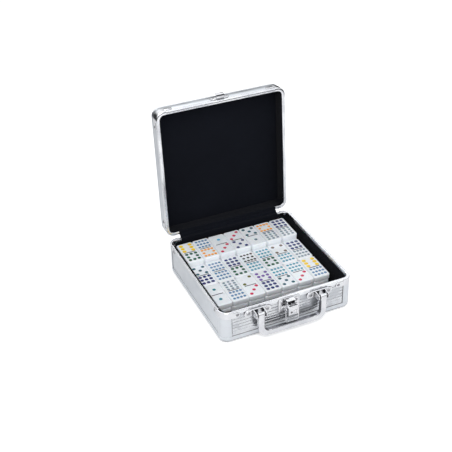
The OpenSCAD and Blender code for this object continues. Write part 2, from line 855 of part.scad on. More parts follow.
// Loop: two legs with eyes, an end bar and a cross bar, with the hook's slot between them
module latch_loop() {
  bar = loop_t / 2;
  color("whitesmoke") on_front() difference() {
    union() {
      for (s = [-1, 1]) {
        translate([s * loop_half_w - bar, lever_out, loop_pivot_z]) rotate([0, 90, 0])
          cylinder(r = loop_eye_r, h = loop_t);
        translate([s * loop_half_w - bar, lever_out - bar, loop_low])
          cube([loop_t, loop_t, loop_pivot_z - loop_low]);
        translate([s * loop_half_w, lever_out, loop_low]) sphere(bar);
      }
      for (z = [loop_low, loop_low + loop_slot])
        translate([-loop_half_w, lever_out, z]) rotate([0, 90, 0]) cylinder(r = bar, h = 2 * loop_half_w);
    }
    for (s = [-1, 1])
      translate([s * loop_half_w - 2, lever_out, loop_pivot_z]) rotate([0, 90, 0])
        cylinder(r = loop_pin_r + bore_gap, h = 4);
  }
}

// Key cylinder in the lever, with a key slot in its face
module lock_cylinder() {
  color("silver") on_front() translate([lock_x, 0, lock_z]) difference() {
    union() {
      translate([0, lever_front - 5, 0]) rotate([-90, 0, 0]) cylinder(r = lock_r, h = 5.4);
      translate([0, tongue_out, 0])
        rotate([-90, 0, 0]) cylinder(r = lock_shaft_r, h = lever_front - 4 - tongue_out);
    }
    translate([-lock_slot_w / 2, lever_front - 2, -lock_slot_l / 2]) cube([lock_slot_w, 5, lock_slot_l]);
  }
}
// Tongue at the back of the key cylinder. It points down when the lock is open
module lock_tongue() {
  color("gray") on_front() translate([lock_x, 0, lock_z]) difference() {
    translate([-tongue_half_w, tongue_out, -tongue_reach]) cube([2 * tongue_half_w, 1, tongue_reach + 1.9]);
    translate([0, tongue_out - 1, 0]) rotate([-90, 0, 0]) cylinder(r = lock_shaft_r, h = 4);
  }
}

// ---- dominoes ----

module domino() {
  x = tile_w / 2 - tile_r;
  y = tile_l / 2 - tile_r;
  linear_extrude(tile_t) {
    square([2 * x, tile_l], center = true);
    square([tile_w, 2 * y], center = true);
    for (i = [-1, 1], j = [-1, 1]) translate([i * x, j * y]) circle(tile_r);
  }
}
// Dominoes of one layer, in the given rows counted from the front
module domino_layer(level, rows) {
  for (c = [0 : tile_columns - 1], r = rows)
    translate([
      stack_left + (c + 0.5) * pitch_x + layer_shift[level][0],
      stack_front + (r + 0.5) * pitch_y + layer_shift[level][1],
      floor_z + level * layer_t
    ])
      domino();
}
all_rows = [0 : tile_rows - 1];
module domino_layer_1() { color("white") domino_layer(0, all_rows); }
module domino_layer_2() { color("ghostwhite") domino_layer(1, all_rows); }
module domino_layer_3() { color("white") domino_layer(2, all_rows); }
module domino_layer_4() { color("ghostwhite") domino_layer(3, all_rows); }
module domino_top_row() { color("white") domino_layer(4, [tile_rows - 1]); }

base_bottom_sheet();
base_floor_board();
base_bottom_band();
base_wall_boards();
base_corner_blocks();
base_corner_skins();
base_front_panel();
base_back_panel();
base_side_panels();
base_rim();
base_lining();
base_floor_pad();
base_corner_caps();
base_cap_rivets();
hinge_leaves_base();
hinge_leaves_lid();
hinge_pins();
hinge_rivets_base();
hinge_rivets_lid();
hinge_cover_base();
hinge_cover_lid();
handle_bracket_left();
handle_bracket_right();
handle_bracket_rivets();
handle_pins();
handle_bail();
latch_plate();
latch_rivets();
latch_pin();
latch_lever();
loop_pivot_pins();
latch_loop();
lock_cylinder();
lock_tongue();
lid_top_sheet();
lid_top_board();
lid_edge_band();
lid_wall_boards();
lid_corner_blocks();
lid_rim();
lid_lining();
lid_corner_caps();
lid_cap_rivets();
lid_catch();
lid_catch_rivets();
domino_layer_1();
domino_layer_2();
domino_layer_3();
domino_layer_4();
domino_top_row();
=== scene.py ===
import json
import math

import bpy
import bmesh
import numpy as np
from mathutils import Matrix, Vector


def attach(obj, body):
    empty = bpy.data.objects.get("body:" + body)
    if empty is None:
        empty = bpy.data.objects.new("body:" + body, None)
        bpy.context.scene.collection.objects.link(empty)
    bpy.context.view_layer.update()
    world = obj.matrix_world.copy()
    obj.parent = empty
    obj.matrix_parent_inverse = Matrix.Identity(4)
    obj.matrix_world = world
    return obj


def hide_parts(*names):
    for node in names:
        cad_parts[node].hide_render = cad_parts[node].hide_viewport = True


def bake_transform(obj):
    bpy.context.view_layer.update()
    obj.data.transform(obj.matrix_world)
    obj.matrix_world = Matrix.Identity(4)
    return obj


# Aluminium domino case, open, with a double-twelve set inside. Lengths below are in millimetres and
# become metres in makePiece. +Z is up, +Y is towards the hinges. A shell is a pair: points and faces.

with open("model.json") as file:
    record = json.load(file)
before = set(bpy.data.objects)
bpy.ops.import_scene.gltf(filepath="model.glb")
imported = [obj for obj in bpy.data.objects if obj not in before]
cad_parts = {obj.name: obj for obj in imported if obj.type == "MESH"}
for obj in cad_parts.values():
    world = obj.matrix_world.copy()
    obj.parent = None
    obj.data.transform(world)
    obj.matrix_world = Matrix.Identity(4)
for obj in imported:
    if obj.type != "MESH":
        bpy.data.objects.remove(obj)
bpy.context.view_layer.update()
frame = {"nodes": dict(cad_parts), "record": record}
rng = np.random.default_rng(12)

# the case, as the CAD part has it
case = {
    "halfWidth": 98.5,
    "halfDepth": 98.0,
    "baseHeight": 50.5,
    "lidHeight": 25.0,
    "gap": 0.15,  # from each rim to the plane where base and lid meet
    "cornerRadius": 12.0,
    "edgeRadius": 5.0,
    "skin": 0.8,
    "rimWidth": 4.5,
    "rimDrop": 5.0,
    "bandTop": 9.5,
    "post": 14.0,
    "liningFace": 4.2,
    "hingeY": 100.7,
    "hingeZ": 50.5,
    "openAngle": 93.5,
}


# vectors made one long: v / |v|
def norm(v):
    return v / np.maximum(np.linalg.norm(v, axis=-1, keepdims=True), 1e-12)


# flat vectors turned a quarter to the left: (x, y) becomes (-y, x)
def leftOf(v):
    return np.stack([-v[:, 1], v[:, 0]], 1)


# smooth step: 3t^2 - 2t^3 with t clamped between 0 and 1
def ease(t):
    t = np.clip(t, 0, 1)
    return t * t * (3 - 2 * t)


# every corner of a polygon becomes an arc tangent to both its sides
def roundCorners(points, radius, steps=5):
    p = np.asarray(points, float)
    r = np.broadcast_to(np.asarray(radius, float), (len(p),))
    a, b = np.roll(p, 1, 0) - p, np.roll(p, -1, 0) - p
    lenA, lenB = np.linalg.norm(a, axis=1), np.linalg.norm(b, axis=1)
    a, b = a / lenA[:, None], b / lenB[:, None]
    half = 0.5 * np.arccos(np.clip((a * b).sum(1), -0.99999, 0.99999))
    cut = np.minimum(r / np.tan(half), 0.49 * np.minimum(lenA, lenB))
    r = cut * np.tan(half)
    centre = p + norm(a + b) * (r / np.sin(half))[:, None]
    start, end = p + a * cut[:, None] - centre, p + b * cut[:, None] - centre
    turn = (math.pi - 2 * half)[:, None, None]
    t = np.linspace(0, 1, steps)[None, :, None]
    arc = (np.sin((1 - t) * turn) * start[:, None] + np.sin(t * turn) * end[:, None]) / np.sin(turn)
    return (centre[:, None] + arc).reshape(-1, 2)


# a rectangle between two opposite corners, anticlockwise from the first, with rounded corners
def roundedBox(x0, y0, x1, y1, radius, steps=5):
    return roundCorners([(x0, y0), (x1, y0), (x1, y1), (x0, y1)], radius, steps)


# points on a circle from one angle to another, both in degrees
def arcPoints(x, y, radius, start, end, steps):
    t = np.radians(np.linspace(start, end, steps))
    return np.stack([x + radius * np.cos(t), y + radius * np.sin(t)], 1)


# a closed outline drawn in by an amount along the mean of its neighbouring edge normals
def drawIn(outline, amount):
    n = leftOf(norm(np.roll(outline, -1, 0) - outline))
    m = n + np.roll(n, 1, 0)
    m = m / np.maximum((m * m).sum(1, keepdims=True) / 2, 0.35)
    area = np.sum(outline[:, 0] * np.roll(outline[:, 1], -1) - np.roll(outline[:, 0], -1) * outline[:, 1])
    return outline + m * amount * (1 if area > 0 else -1)


# quads between the neighbours of a grid, where point (i, j) has the number i * cols + j
def gridFaces(rows, cols, closeRows=False, closeCols=False):
    i = np.arange(rows if closeRows else rows - 1)[:, None]
    j = np.arange(cols if closeCols else cols - 1)[None, :]
    i2, j2 = (i + 1) % rows, (j + 1) % cols
    return np.stack([i * cols + j, i2 * cols + j, i2 * cols + j2, i * cols + j2], -1).reshape(-1, 4)


# closed loops joined one after another, with a flat face over each end unless they run in a ring
def loft(loops, ring=False):
    loops = np.asarray(loops, float)
    m, n = loops.shape[:2]
    faces = gridFaces(m, n, ring, True).tolist()
    if not ring:
        faces += [list(range(n))[::-1], list(range((m - 1) * n, m * n))]
    return loops.reshape(-1, 3), faces


# a solid between two grids of points that are joined round their borders
def slab(outer, inner):
    nu, nv = outer.shape[:2]
    count = nu * nv
    faces = gridFaces(nu, nv).tolist()
    faces += (gridFaces(nu, nv)[:, ::-1] + count).tolist()
    index = np.arange(count).reshape(nu, nv)
    edge = np.concatenate([index[:-1, 0], index[-1, :-1], index[:0:-1, -1], index[0, :0:-1]])
    after = np.roll(edge, -1)
    faces += np.stack([edge, edge + count, after + count, after], 1).tolist()
    return np.concatenate([outer.reshape(-1, 3), inner.reshape(-1, 3)]), faces


# a slab over one plan: its free face at height z(x, y), its other face flat
def slabOver(x, y, z, flat):
    return slab(np.stack([x, y, z], 2), np.stack([x, y, np.full_like(x, flat)], 2))


# a flat plate with rounded edges: the outline drawn in by e(1 - sin a) at height e(1 - cos a)
def plate(outline, thickness, edge=0.25, steps=4):
    a = np.linspace(0, math.pi / 2, steps)
    down = [(edge * (1 - math.sin(t)), edge * (1 - math.cos(t))) for t in a]
    levels = down + [(s, thickness - z) for s, z in down[::-1]]
    loops = [np.column_stack([drawIn(outline, s), np.full(len(outline), z)]) for s, z in levels]
    return loft(loops)


# a turned shape: (radius, height) pairs carried round the Z axis, as (r cos t, r sin t, h)
def turned(profile, steps=32, ring=False):
    r, h = np.asarray(profile, float).T[:, :, None]
    t = np.linspace(0, 2 * math.pi, steps, endpoint=False)
    loops = np.stack([r * np.cos(t), r * np.sin(t), np.broadcast_to(h, (len(h), steps))], 2)
    # an open profile makes a loop at each of its points, a closed one is itself the loop
    return loft(loops.swapaxes(0, 1), True) if ring else loft(loops)


# (along X, radius) pairs curled round an axis along X: y = y0 + way * r cos a, z = z0 + r sin a
def curled(section, x, y, z, angles, way=1):
    a, r = np.radians(angles)[:, None], section[:, 1]
    along = np.broadcast_to(x + section[:, 0], (len(a), len(r)))
    return loft(np.stack([along, y + way * np.cos(a) * r, z + np.sin(a) * r], 2))


# a shell placed by its own axes: point = origin + px * x + py * y + pz * z
def moved(shell, origin=(0, 0, 0), x=(1, 0, 0), y=(0, 1, 0), z=(0, 0, 1)):
    return shell[0] @ np.array([x, y, z], float) + np.array(origin, float), shell[1]


# local X along the wall, local Y up, local Z out of the front wall
def onFront(shell, x=0.0, z=0.0, out=0.0):
    return moved(shell, (x, -case["halfDepth"] - out, z), (1, 0, 0), (0, 0, 1), (0, -1, 0))


# the same on the back wall
def onBack(shell, x=0.0, z=0.0, out=0.0):
    return moved(shell, (x, case["halfDepth"] + out, z), (-1, 0, 0), (0, 0, 1), (0, 1, 0))


# and on the right wall (side 1) or the left one (side -1)
def onSide(shell, side, y=0.0, z=0.0, out=0.0):
    return moved(shell, (side * (case["halfWidth"] + out), y, z), (0, side, 0), (0, 0, 1), (side, 0, 0))


# an outline seen from the side: local X goes out of the front wall, local Y up, local Z along the wall
def acrossFront(shell, x=0.0):
    return moved(shell, (x, -case["halfDepth"], 0), (0, -1, 0), (0, 0, 1), (1, 0, 0))


# local Z along X, for pins and hinges; towards the left when way is -1
def alongX(shell, x, y, z, way=1):
    return moved(shell, (x, y, z), (0, 1, 0), (0, 0, 1), (way, 0, 0))


# points of the closed lid turned open about the hinge line by the angle a:
# y' = y cos a + z sin a, z' = z cos a - y sin a, both measured from the hinge
def openLid(shell):
    p, faces = shell
    a = math.radians(case["openAngle"])
    y, z = p[:, 1] - case["hingeY"], p[:, 2] - case["hingeZ"]
    q = np.column_stack([p[:, 0], case["hingeY"] + y * math.cos(a) + z * math.sin(a),
                         case["hingeZ"] - y * math.sin(a) + z * math.cos(a)])
    return q, faces


# a tray drawn upwards from z = 0 is the base as it stands
def asBase(shell):
    return shell


# and it becomes the lid when it is turned over on top of the base and opened
def asLid(shell):
    p, faces = shell
    q = p.copy()
    q[:, 2] = case["baseHeight"] + case["lidHeight"] - q[:, 2]
    return openLid((q, faces))


# shells become one mesh in metres: points end to end, faces renumbered, normals outwards;
# the finish of the slot gives its material and the angle above which an edge stays sharp
def makePiece(name, shells, slot, body=None, stands=None, sharp=None, mats=None, tint=None, tone=None):
    usual, usualSharp = finishes[slot]
    starts = np.cumsum([0] + [len(p) for p, f in shells]).tolist()
    faces = [[i + start for i in f] for start, s in zip(starts, shells) for f in s[1]]
    mesh = bpy.data.meshes.new(name)
    mesh.from_pydata((np.concatenate([p for p, f in shells]) * 0.001).tolist(), [], faces)
    if tint is not None:  # one colour for each face
        totals = np.zeros(len(mesh.polygons), np.int32)
        mesh.polygons.foreach_get("loop_total", totals)
        layer = mesh.color_attributes.new("paint", "FLOAT_COLOR", "CORNER")
        layer.data.foreach_set("color", np.repeat(tint, totals, axis=0).astype(np.float32).ravel())
    if tone is not None:  # one number for each point
        layer = mesh.attributes.new("lot", "FLOAT", "POINT")
        layer.data.foreach_set("value", np.asarray(tone, np.float32))
    bm = bmesh.new()
    bm.from_mesh(mesh)
    bmesh.ops.recalc_face_normals(bm, faces=bm.faces)
    bm.to_mesh(mesh)
    bm.free()
    mesh.shade_smooth()
    mesh.set_sharp_from_angle(angle=math.radians(sharp or usualSharp))
    for material in mats or [usual]:
        mesh.materials.append(material)
    obj = bpy.data.objects.new(name, mesh)
    bpy.context.scene.collection.objects.link(obj)
    if body:
        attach(obj, body)
    if stands:
        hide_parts(*([stands] if isinstance(stands, str) else stands))
    return obj


# a socket takes a link from another socket or a plain value; a colour may leave out its alpha
def setInputs(tree, node, values):
    for key, value in values.items():
        socket = node.inputs[key]
        if isinstance(value, bpy.types.NodeSocket):
            tree.links.new(value, socket)
        elif socket.type == "RGBA":
            socket.default_value = (*value, 1)
        else:
            socket.default_value = value


# a node with its settings and, as {socket: link or value}, its inputs
def addNode(tree, kind, place, values=None, **settings):
    node = tree.nodes.new(kind)
    node.location = place
    for key, value in settings.items():
        setattr(node, key, value)
    setInputs(tree, node, values or {})
    return node


# a value carried from the range start..end to the range low..high, and held inside it
def mapped(tree, place, value, start=0.0, end=1.0, low=0.0, high=1.0):
    values = {"Value": value, "From Min": start, "From Max": end, "To Min": low, "To Max": high}
    return addNode(tree, "ShaderNodeMapRange", place, values).outputs["Result"]


# colour = a (1 - factor) + b factor
def mixed(tree, place, factor, a, b):
    return addNode(tree, "ShaderNodeMix", place, {0: factor, 6: a, 7: b}, data_type="RGBA").outputs[2]


# one operation on numbers
def reckoned(tree, place, operation, *values):
    return addNode(tree, "ShaderNodeMath", place, dict(enumerate(values)), operation=operation).outputs[0]


# one operation on vectors, here mostly a colour times a number
def vectorOf(tree, place, operation, values, output=0):
    return addNode(tree, "ShaderNodeVectorMath", place, values, operation=operation).outputs[output]


# a normal tilted by the slope of a height
def bumped(tree, place, height, strength, distance):
    values = {"Height": height, "Strength": strength, "Distance": distance}
    return addNode(tree, "ShaderNodeBump", place, values).outputs[0]


# a node group: its inputs are numbers or vectors with their defaults, its outputs are numbers
def newGroup(name, inputs, outputs):
    group = bpy.data.node_groups.new(name, "ShaderNodeTree")
    for label, value in inputs.items():
        kind = "NodeSocketFloat" if isinstance(value, float) else "NodeSocketVector"
        socket = group.interface.new_socket(label, in_out="INPUT", socket_type=kind)
        if value is not None:
            socket.default_value = value
    for label in outputs:
        group.interface.new_socket(label, in_out="OUTPUT", socket_type="NodeSocketFloat")
    return group, addNode(group, "NodeGroupInput", (-900, 0)).outputs


# brushed metal: noise stretched along one axis gives fine lines, a slow noise gives smudges,
# and the borders of stretched cells give scratches, kept only where there are smudges
def brushedGroup():
    inputs = {"Vector": None, "Stretch": (60, 4000, 4000), "Smudge Scale": 22.0}
    group, given = newGroup("BrushedLines", inputs, ["Lines", "Smudge", "Scratches"])
    drawn = vectorOf(group, (-650, 150), "MULTIPLY", {0: given["Vector"], 1: given["Stretch"]})
    lines = addNode(group, "ShaderNodeTexNoise", (-420, 150), {"Vector": drawn, "Scale": 1.0, "Detail": 3.0})
    smudge = addNode(group, "ShaderNodeTexNoise", (-420, -80), {
        "Vector": given["Vector"], "Scale": given["Smudge Scale"], "Detail": 4.0, "Roughness": 0.6})
    spots = mapped(group, (60, -80), smudge.outputs["Fac"], 0.42, 0.66)
    warp = vectorOf(group, (-650, -300), "MULTIPLY", {0: given["Vector"], 1: (35, 310, 170)})
    cells = addNode(group, "ShaderNodeTexVoronoi", (-420, -300), {"Vector": warp, "Scale": 1.0},
                    feature="DISTANCE_TO_EDGE")
    borders = mapped(group, (-180, -300), cells.outputs["Distance"], 0.0, 0.03, 1.0, 0.0)
    scratches = reckoned(group, (60, -300), "MULTIPLY", borders, spots)
    addNode(group, "NodeGroupOutput", (700, 0), {
        "Lines": lines.outputs["Fac"], "Smudge": spots, "Scratches": scratches})
    return group


# woven cloth: the highest of three crossed waves makes the threads, noise makes the nap uneven,
# and the middles of small cells are lint
def clothGroup():
    group, given = newGroup("ClothWeave", {"Vector": None, "Threads": 900.0, "Cloud Scale": 14.0},
                            ["Weave", "Cloud", "Lint"])
    turn = addNode(group, "ShaderNodeMapping", (-700, 200), {
        "Vector": given["Vector"], "Rotation": (0.6, 0.5, 0.7)})
    x, y, z = [addNode(group, "ShaderNodeTexWave", (-450, 300 - 170 * k), {
        "Vector": turn.outputs[0], "Scale": given["Threads"], "Distortion": 1.2, "Detail": 2.0},
        bands_direction=axis).outputs["Fac"] for k, axis in enumerate("XYZ")]
    threads = reckoned(group, (0, 200), "MAXIMUM", reckoned(group, (-200, 250), "MAXIMUM", x, y), z)
    cloud = addNode(group, "ShaderNodeTexNoise", (-450, -250), {
        "Vector": given["Vector"], "Scale": given["Cloud Scale"], "Detail": 5.0})
    lint = addNode(group, "ShaderNodeTexVoronoi", (-450, -450), {"Vector": given["Vector"], "Scale": 420.0})
    dots = mapped(group, (-200, -450), lint.outputs["Distance"], 0.0, 0.16, 1.0, 0.0)
    addNode(group, "NodeGroupOutput", (700, 0), {
        "Weave": threads, "Cloud": cloud.outputs["Fac"], "Lint": dots})
    return group


# handling marks for plastic and board: a fine noise gives pits, a slow one gives rubbed patches
def handledGroup():
    group, given = newGroup("HandledSurface", {"Vector": None, "Pit Scale": 1500.0, "Patch Scale": 90.0},
                            ["Pits", "Patches"])
    pits = addNode(group, "ShaderNodeTexNoise", (-400, 120), {
        "Vector": given["Vector"], "Scale": given["Pit Scale"], "Detail": 2.0})
    patches = addNode(group, "ShaderNodeTexNoise", (-400, -120), {
        "Vector": given["Vector"], "Scale": given["Patch Scale"], "Detail": 5.0})
    addNode(group, "NodeGroupOutput", (700, 0), {
        "Pits": pits.outputs["Fac"],
        "Patches": mapped(group, (-150, -120), patches.outputs["Fac"], 0.38, 0.68)})
    return group


# painted shade in the recesses: the less open the place by ambient occlusion, the darker the metal is
# painted, down to 1 - painted shade
def recessShadeGroup():
    group, given = newGroup("RecessGrime", {"Reach": 0.008, "Grime": 0.5}, ["Unshaded"])
    hollow = addNode(group, "ShaderNodeAmbientOcclusion", (-600, 100), {"Distance": given["Reach"]},
                     samples=6)
    least = reckoned(group, (-600, -150), "SUBTRACT", 1.0, given["Grime"])
    unshaded = mapped(group, (-300, 0), hollow.outputs["AO"], 0.35, 0.8, least)
    addNode(group, "NodeGroupOutput", (700, 0), {"Unshaded": unshaded})
    return group


brushed, weave, handled, recessShading = brushedGroup(), clothGroup(), handledGroup(), recessShadeGroup()


# an empty material: its tree, its Principled BSDF and its Object coordinates
def newMaterial(name):
    material = bpy.data.materials.new(name)
    material.use_nodes = True
    tree = material.node_tree
    tree.nodes.clear()
    bsdf = addNode(tree, "ShaderNodeBsdfPrincipled", (300, 0))
    addNode(tree, "ShaderNodeOutputMaterial", (600, 0), {"Surface": bsdf.outputs[0]})
    return material, tree, bsdf, addNode(tree, "ShaderNodeTexCoord", (-900, 0)).outputs["Object"]


# a group placed in a material
def useGroup(tree, group, place, values):
    node = tree.nodes.new("ShaderNodeGroup")
    node.location = place
    node.node_tree = group
    setInputs(tree, node, values)
    return node.outputs


# metal: colour = mix(bright, dull, smudge) * (0.9 to 1.06 by the lines) * (what the painted recess shade
# leaves), roughness from its first value to its second by the smudges, lines less 0.8 scratches as relief
def metalMaterial(name, bright, dull, rough, stretch, smudge=22.0, lines=0.12, metallic=1.0, paintedShade=0.0):
    material, tree, bsdf, vector = newMaterial(name)
    marks = useGroup(tree, brushed, (-600, 0), {"Vector": vector, "Stretch": stretch, "Smudge Scale": smudge})
    base = mixed(tree, (-250, 250), marks["Smudge"], bright, dull)
    fine = mapped(tree, (-250, 60), marks["Lines"], low=0.9, high=1.06)
    # painted shade: the colour is darkened where ambient occlusion finds the place closed in
    unshaded = useGroup(tree, recessShading, (-60, 420), {"Grime": paintedShade})["Unshaded"]
    shade = vectorOf(tree, (-40, 200), "SCALE", {0: base, "Scale": fine})
    relief = reckoned(tree, (-100, -320), "MULTIPLY_ADD", marks["Scratches"], -0.8, marks["Lines"])
    setInputs(tree, bsdf, {
        "Base Color": vectorOf(tree, (130, 300), "SCALE", {0: shade, "Scale": unshaded}),
        "Metallic": metallic,
        "Roughness": mapped(tree, (-250, -100), marks["Smudge"], low=rough[0], high=rough[1]),
        "Normal": bumped(tree, (60, -300), relief, lines, 0.0001)})
    return material


# cloth: colour = mix(dark, light, cloud), with a little lint over it, and the weave as relief
def clothMaterial(name, dark, light, threads):
    material, tree, bsdf, vector = newMaterial(name)
    marks = useGroup(tree, weave, (-600, 0), {"Vector": vector, "Threads": threads})
    tone = mixed(tree, (-60, 250), mapped(tree, (-250, 250), marks["Cloud"]), dark, light)
    lint = mapped(tree, (-250, 60), marks["Lint"], high=0.25)
    setInputs(tree, bsdf, {
        "Base Color": mixed(tree, (120, 250), lint, tone, (0.03, 0.034, 0.045)),
        "Roughness": 0.92,
        "Sheen Weight": 0.04,
        "Sheen Roughness": 0.5,
        "Specular IOR Level": 0.10,
        "Normal": bumped(tree, (60, -300), marks["Weave"], 0.35, 0.0003)})
    return material


# board: colour = mix(pale, brown, patches), rough, with pits as relief
def boardMaterial(name, pale, brown):
    material, tree, bsdf, vector = newMaterial(name)
    marks = useGroup(tree, handled, (-600, 0), {"Vector": vector})
    setInputs(tree, bsdf, {
        "Base Color": mixed(tree, (-200, 200), marks["Patches"], pale, brown),
        "Roughness": mapped(tree, (-200, -60), marks["Pits"], low=0.7, high=0.95),
        "Normal": bumped(tree, (60, -300), marks["Pits"], 0.5, 0.0003)})
    return material


# domino plastic: a white that differs from tile to tile by the mesh's "lot" and is greyer where
# handled, under the colour of the pips, which the mesh keeps as "paint"
def dominoMaterial(name, white, cream, worn):
    material, tree, bsdf, vector = newMaterial(name)
    marks = useGroup(tree, handled, (-600, 0), {"Vector": vector})
    paint = addNode(tree, "ShaderNodeAttribute", (-600, 350), attribute_name="paint").outputs
    lot = addNode(tree, "ShaderNodeAttribute", (-600, 550), attribute_name="lot").outputs
    plain = mixed(tree, (-300, 500), lot["Fac"], white, cream)
    rubbed = mapped(tree, (-400, 60), marks["Patches"], high=0.35)
    body = mixed(tree, (-100, 450), rubbed, plain, worn)
    setInputs(tree, bsdf, {
        "Base Color": mixed(tree, (80, 350), paint["Alpha"], body, paint["Color"]),
        "Roughness": mapped(tree, (-300, -60), marks["Patches"], low=0.22, high=0.38),
        "Subsurface Weight": 0.06,
        "Subsurface Scale": 0.002,
        "Coat Weight": 0.15,
        "Coat Roughness": 0.15,
        "Normal": bumped(tree, (60, -300), marks["Pits"], 0.12, 0.00006)})
    return material


# the last number of each metal is how deep the painted shade in its recesses goes
skinMetal = metalMaterial("SkinMetal", bright=(0.72, 0.745, 0.775), dull=(0.685, 0.712, 0.75),
                          rough=(0.30, 0.42), stretch=(50, 50, 2600), paintedShade=0.5)
panelMetal = metalMaterial("PanelMetal", bright=(0.76, 0.77, 0.79), dull=(0.50, 0.52, 0.56),
                           rough=(0.22, 0.34), stretch=(35, 2600, 2600), paintedShade=0.75)
rimMetal = metalMaterial("RimMetal", bright=(0.84, 0.85, 0.87), dull=(0.70, 0.71, 0.75),
                         rough=(0.16, 0.28), stretch=(300, 300, 1900), smudge=40, paintedShade=0.5)
chromeMetal = metalMaterial("ChromeMetal", bright=(0.80, 0.80, 0.82), dull=(0.68, 0.69, 0.72),
                            rough=(0.05, 0.14), stretch=(700, 700, 700), smudge=60, lines=0.05, paintedShade=0.85)
# a darker copy of the chrome: painted shade on the bail's faces turned inwards
shadedChrome = metalMaterial("InnerChrome", bright=(0.32, 0.32, 0.34), dull=(0.20, 0.20, 0.22),
                            rough=(0.18, 0.34), stretch=(700, 700, 700), smudge=60, lines=0.05, paintedShade=0.85)
steelMetal = metalMaterial("SteelMetal", bright=(0.46, 0.46, 0.48), dull=(0.26, 0.26, 0.28),
                           rough=(0.20, 0.4), stretch=(900, 900, 900), smudge=160, lines=0.1, paintedShade=0.8)
# near black: painted shadow at the floors of the lever's hole and of the key slot
paintedHoleShadow = metalMaterial("HollowDark", bright=(0.02, 0.02, 0.02), dull=(0.05, 0.05, 0.05),
                           rough=(0.5, 0.7), stretch=(900, 900, 900), smudge=160, lines=0.1, metallic=0.3)
blackCloth = clothMaterial("BlackCloth", dark=(0.0014, 0.0019, 0.0040), light=(0.0040, 0.0051, 0.0092),
                           threads=900.0)
padCloth = clothMaterial("PadFoam", dark=(0.006, 0.006, 0.007), light=(0.014, 0.014, 0.017), threads=500.0)
coreBoard = boardMaterial("CoreBoard", pale=(0.11, 0.09, 0.075), brown=(0.06, 0.05, 0.045))
dominoPlastic = dominoMaterial("DominoPlastic", white=(0.875, 0.905, 0.94), cream=(0.80, 0.83, 0.865),
                               worn=(0.74, 0.765, 0.79))

# the finish in each slot, and the angle in degrees above which its edges stay sharp
finishes = {
    "aluminium_skin": (skinMetal, 40),
    "rim_metal": (rimMetal, 38),
    "chrome": (chromeMetal, 38),
    "rivet_steel": (steelMetal, 35),
    "core_board": (coreBoard, 30),
    "black_lining": (blackCloth, 60),
    "domino_white": (dominoPlastic, 34),
}
print("materials made")

tile = {
    "width": 24.7,
    "length": 49.3,
    "height": 8.4,
    "corner": 3.0,
    "edge": 1.3,
    "border": 2.2,  # from the sides to the lattice of pips
    "cells": 12,  # lattice squares along each side of a half
    "pipRadius": 2.55,
    "smallPipRadius": 2.1,  # on halves with ten pips and more
    "pipDepth": 0.45,
    "lineDepth": 0.35,
    "lineHalf": 0.8,
}
paints = {
    "lightblue": (0.10, 0.42, 0.66),
    "olive": (0.13, 0.15, 0.04),
    "red": (0.58, 0.03, 0.09),
    "brown": (0.17, 0.12, 0.09),
    "navy": (0.022, 0.03, 0.15),
    "teal": (0.02, 0.19, 0.24),
    "aqua": (0.05, 0.28, 0.39),
    "pine": (0.012, 0.09, 0.13),
    "yellow": (0.88, 0.60, 0.02),
    "violet": (0.16, 0.08, 0.33),
    "green": (0.010, 0.095, 0.05),
    "orange": (0.90, 0.36, 0.03),
    "black": (0.035, 0.03, 0.03),
    "grey": (0.18, 0.245, 0.30),
    "steel": (0.08, 0.20, 0.37),
    "line": (0.05, 0.05, 0.065),
}
# back half and front half of every domino that shows, from left to right: pips, colour, own pip radius
rowBack = [("6 yellow 3.1", "8 green"), ("12 steel", "10 orange 2.25"), ("1 lightblue", "3 red"),
           ("3 red", "5 navy"), ("5 pine", "1 grey"), ("10 orange 2.25", "12t grey"),
           ("9 navy 2.7", "12t grey")]
rowMiddle = [("5 pine", "9 navy 2.7"), ("12 steel", "12 steel"), ("9 navy 2.7", "8 green"),
             ("11 black", "12 aqua"), ("12 aqua", "8 green"), ("4 brown", "12 aqua"),
             ("9 navy 2.7", "12 grey")]
rowFront = [("1 teal", "1 teal"), ("12t grey", "12 steel"), ("2 olive", "3 red"), ("7 violet", "9 navy 2.7"),
            ("12 aqua", "5 pine"), ("12 aqua", "3 red"), ("6 yellow 3.1", "12 steel")]
rowUnder = [("4 brown", "7 violet"), ("8 green", "2 olive"), ("11 black", "6 yellow"),
            ("0 grey", "9 navy 2.7"), ("10 orange 2.25", "4 brown"), ("2 olive", "0 grey"),
            ("8 green", "11 black")]
# the cells of a half: strips of 3 or 4, laid across, or along when the name ends in t
halfMarks = {
    "0": "... ... ...", "1": "... .x. ...", "2": "x.. ... ..x", "3": "x.. .x. ..x", "4": "x.x ... x.x",
    "5": "x.x .x. x.x", "6": "x.x x.x x.x", "7": "x.x xxx x.x", "8": "xxx x.x xxx", "9": "xxx xxx xxx",
    "10": "xxxx x..x xxxx", "11": "xxxx xxx xxxx", "12": "xxxx xxxx xxxx",
}


# points round the border of a lattice, anticlockwise from its first corner
def around(xs, ys):
    n, m = len(xs) - 1, len(ys) - 1
    return np.concatenate([
        np.column_stack([xs[:-1], np.full(n, ys[0])]), np.column_stack([np.full(m, xs[-1]), ys[:-1]]),
        np.column_stack([xs[:0:-1], np.full(n, ys[-1])]), np.column_stack([np.full(m, xs[0]), ys[:0:-1]])])


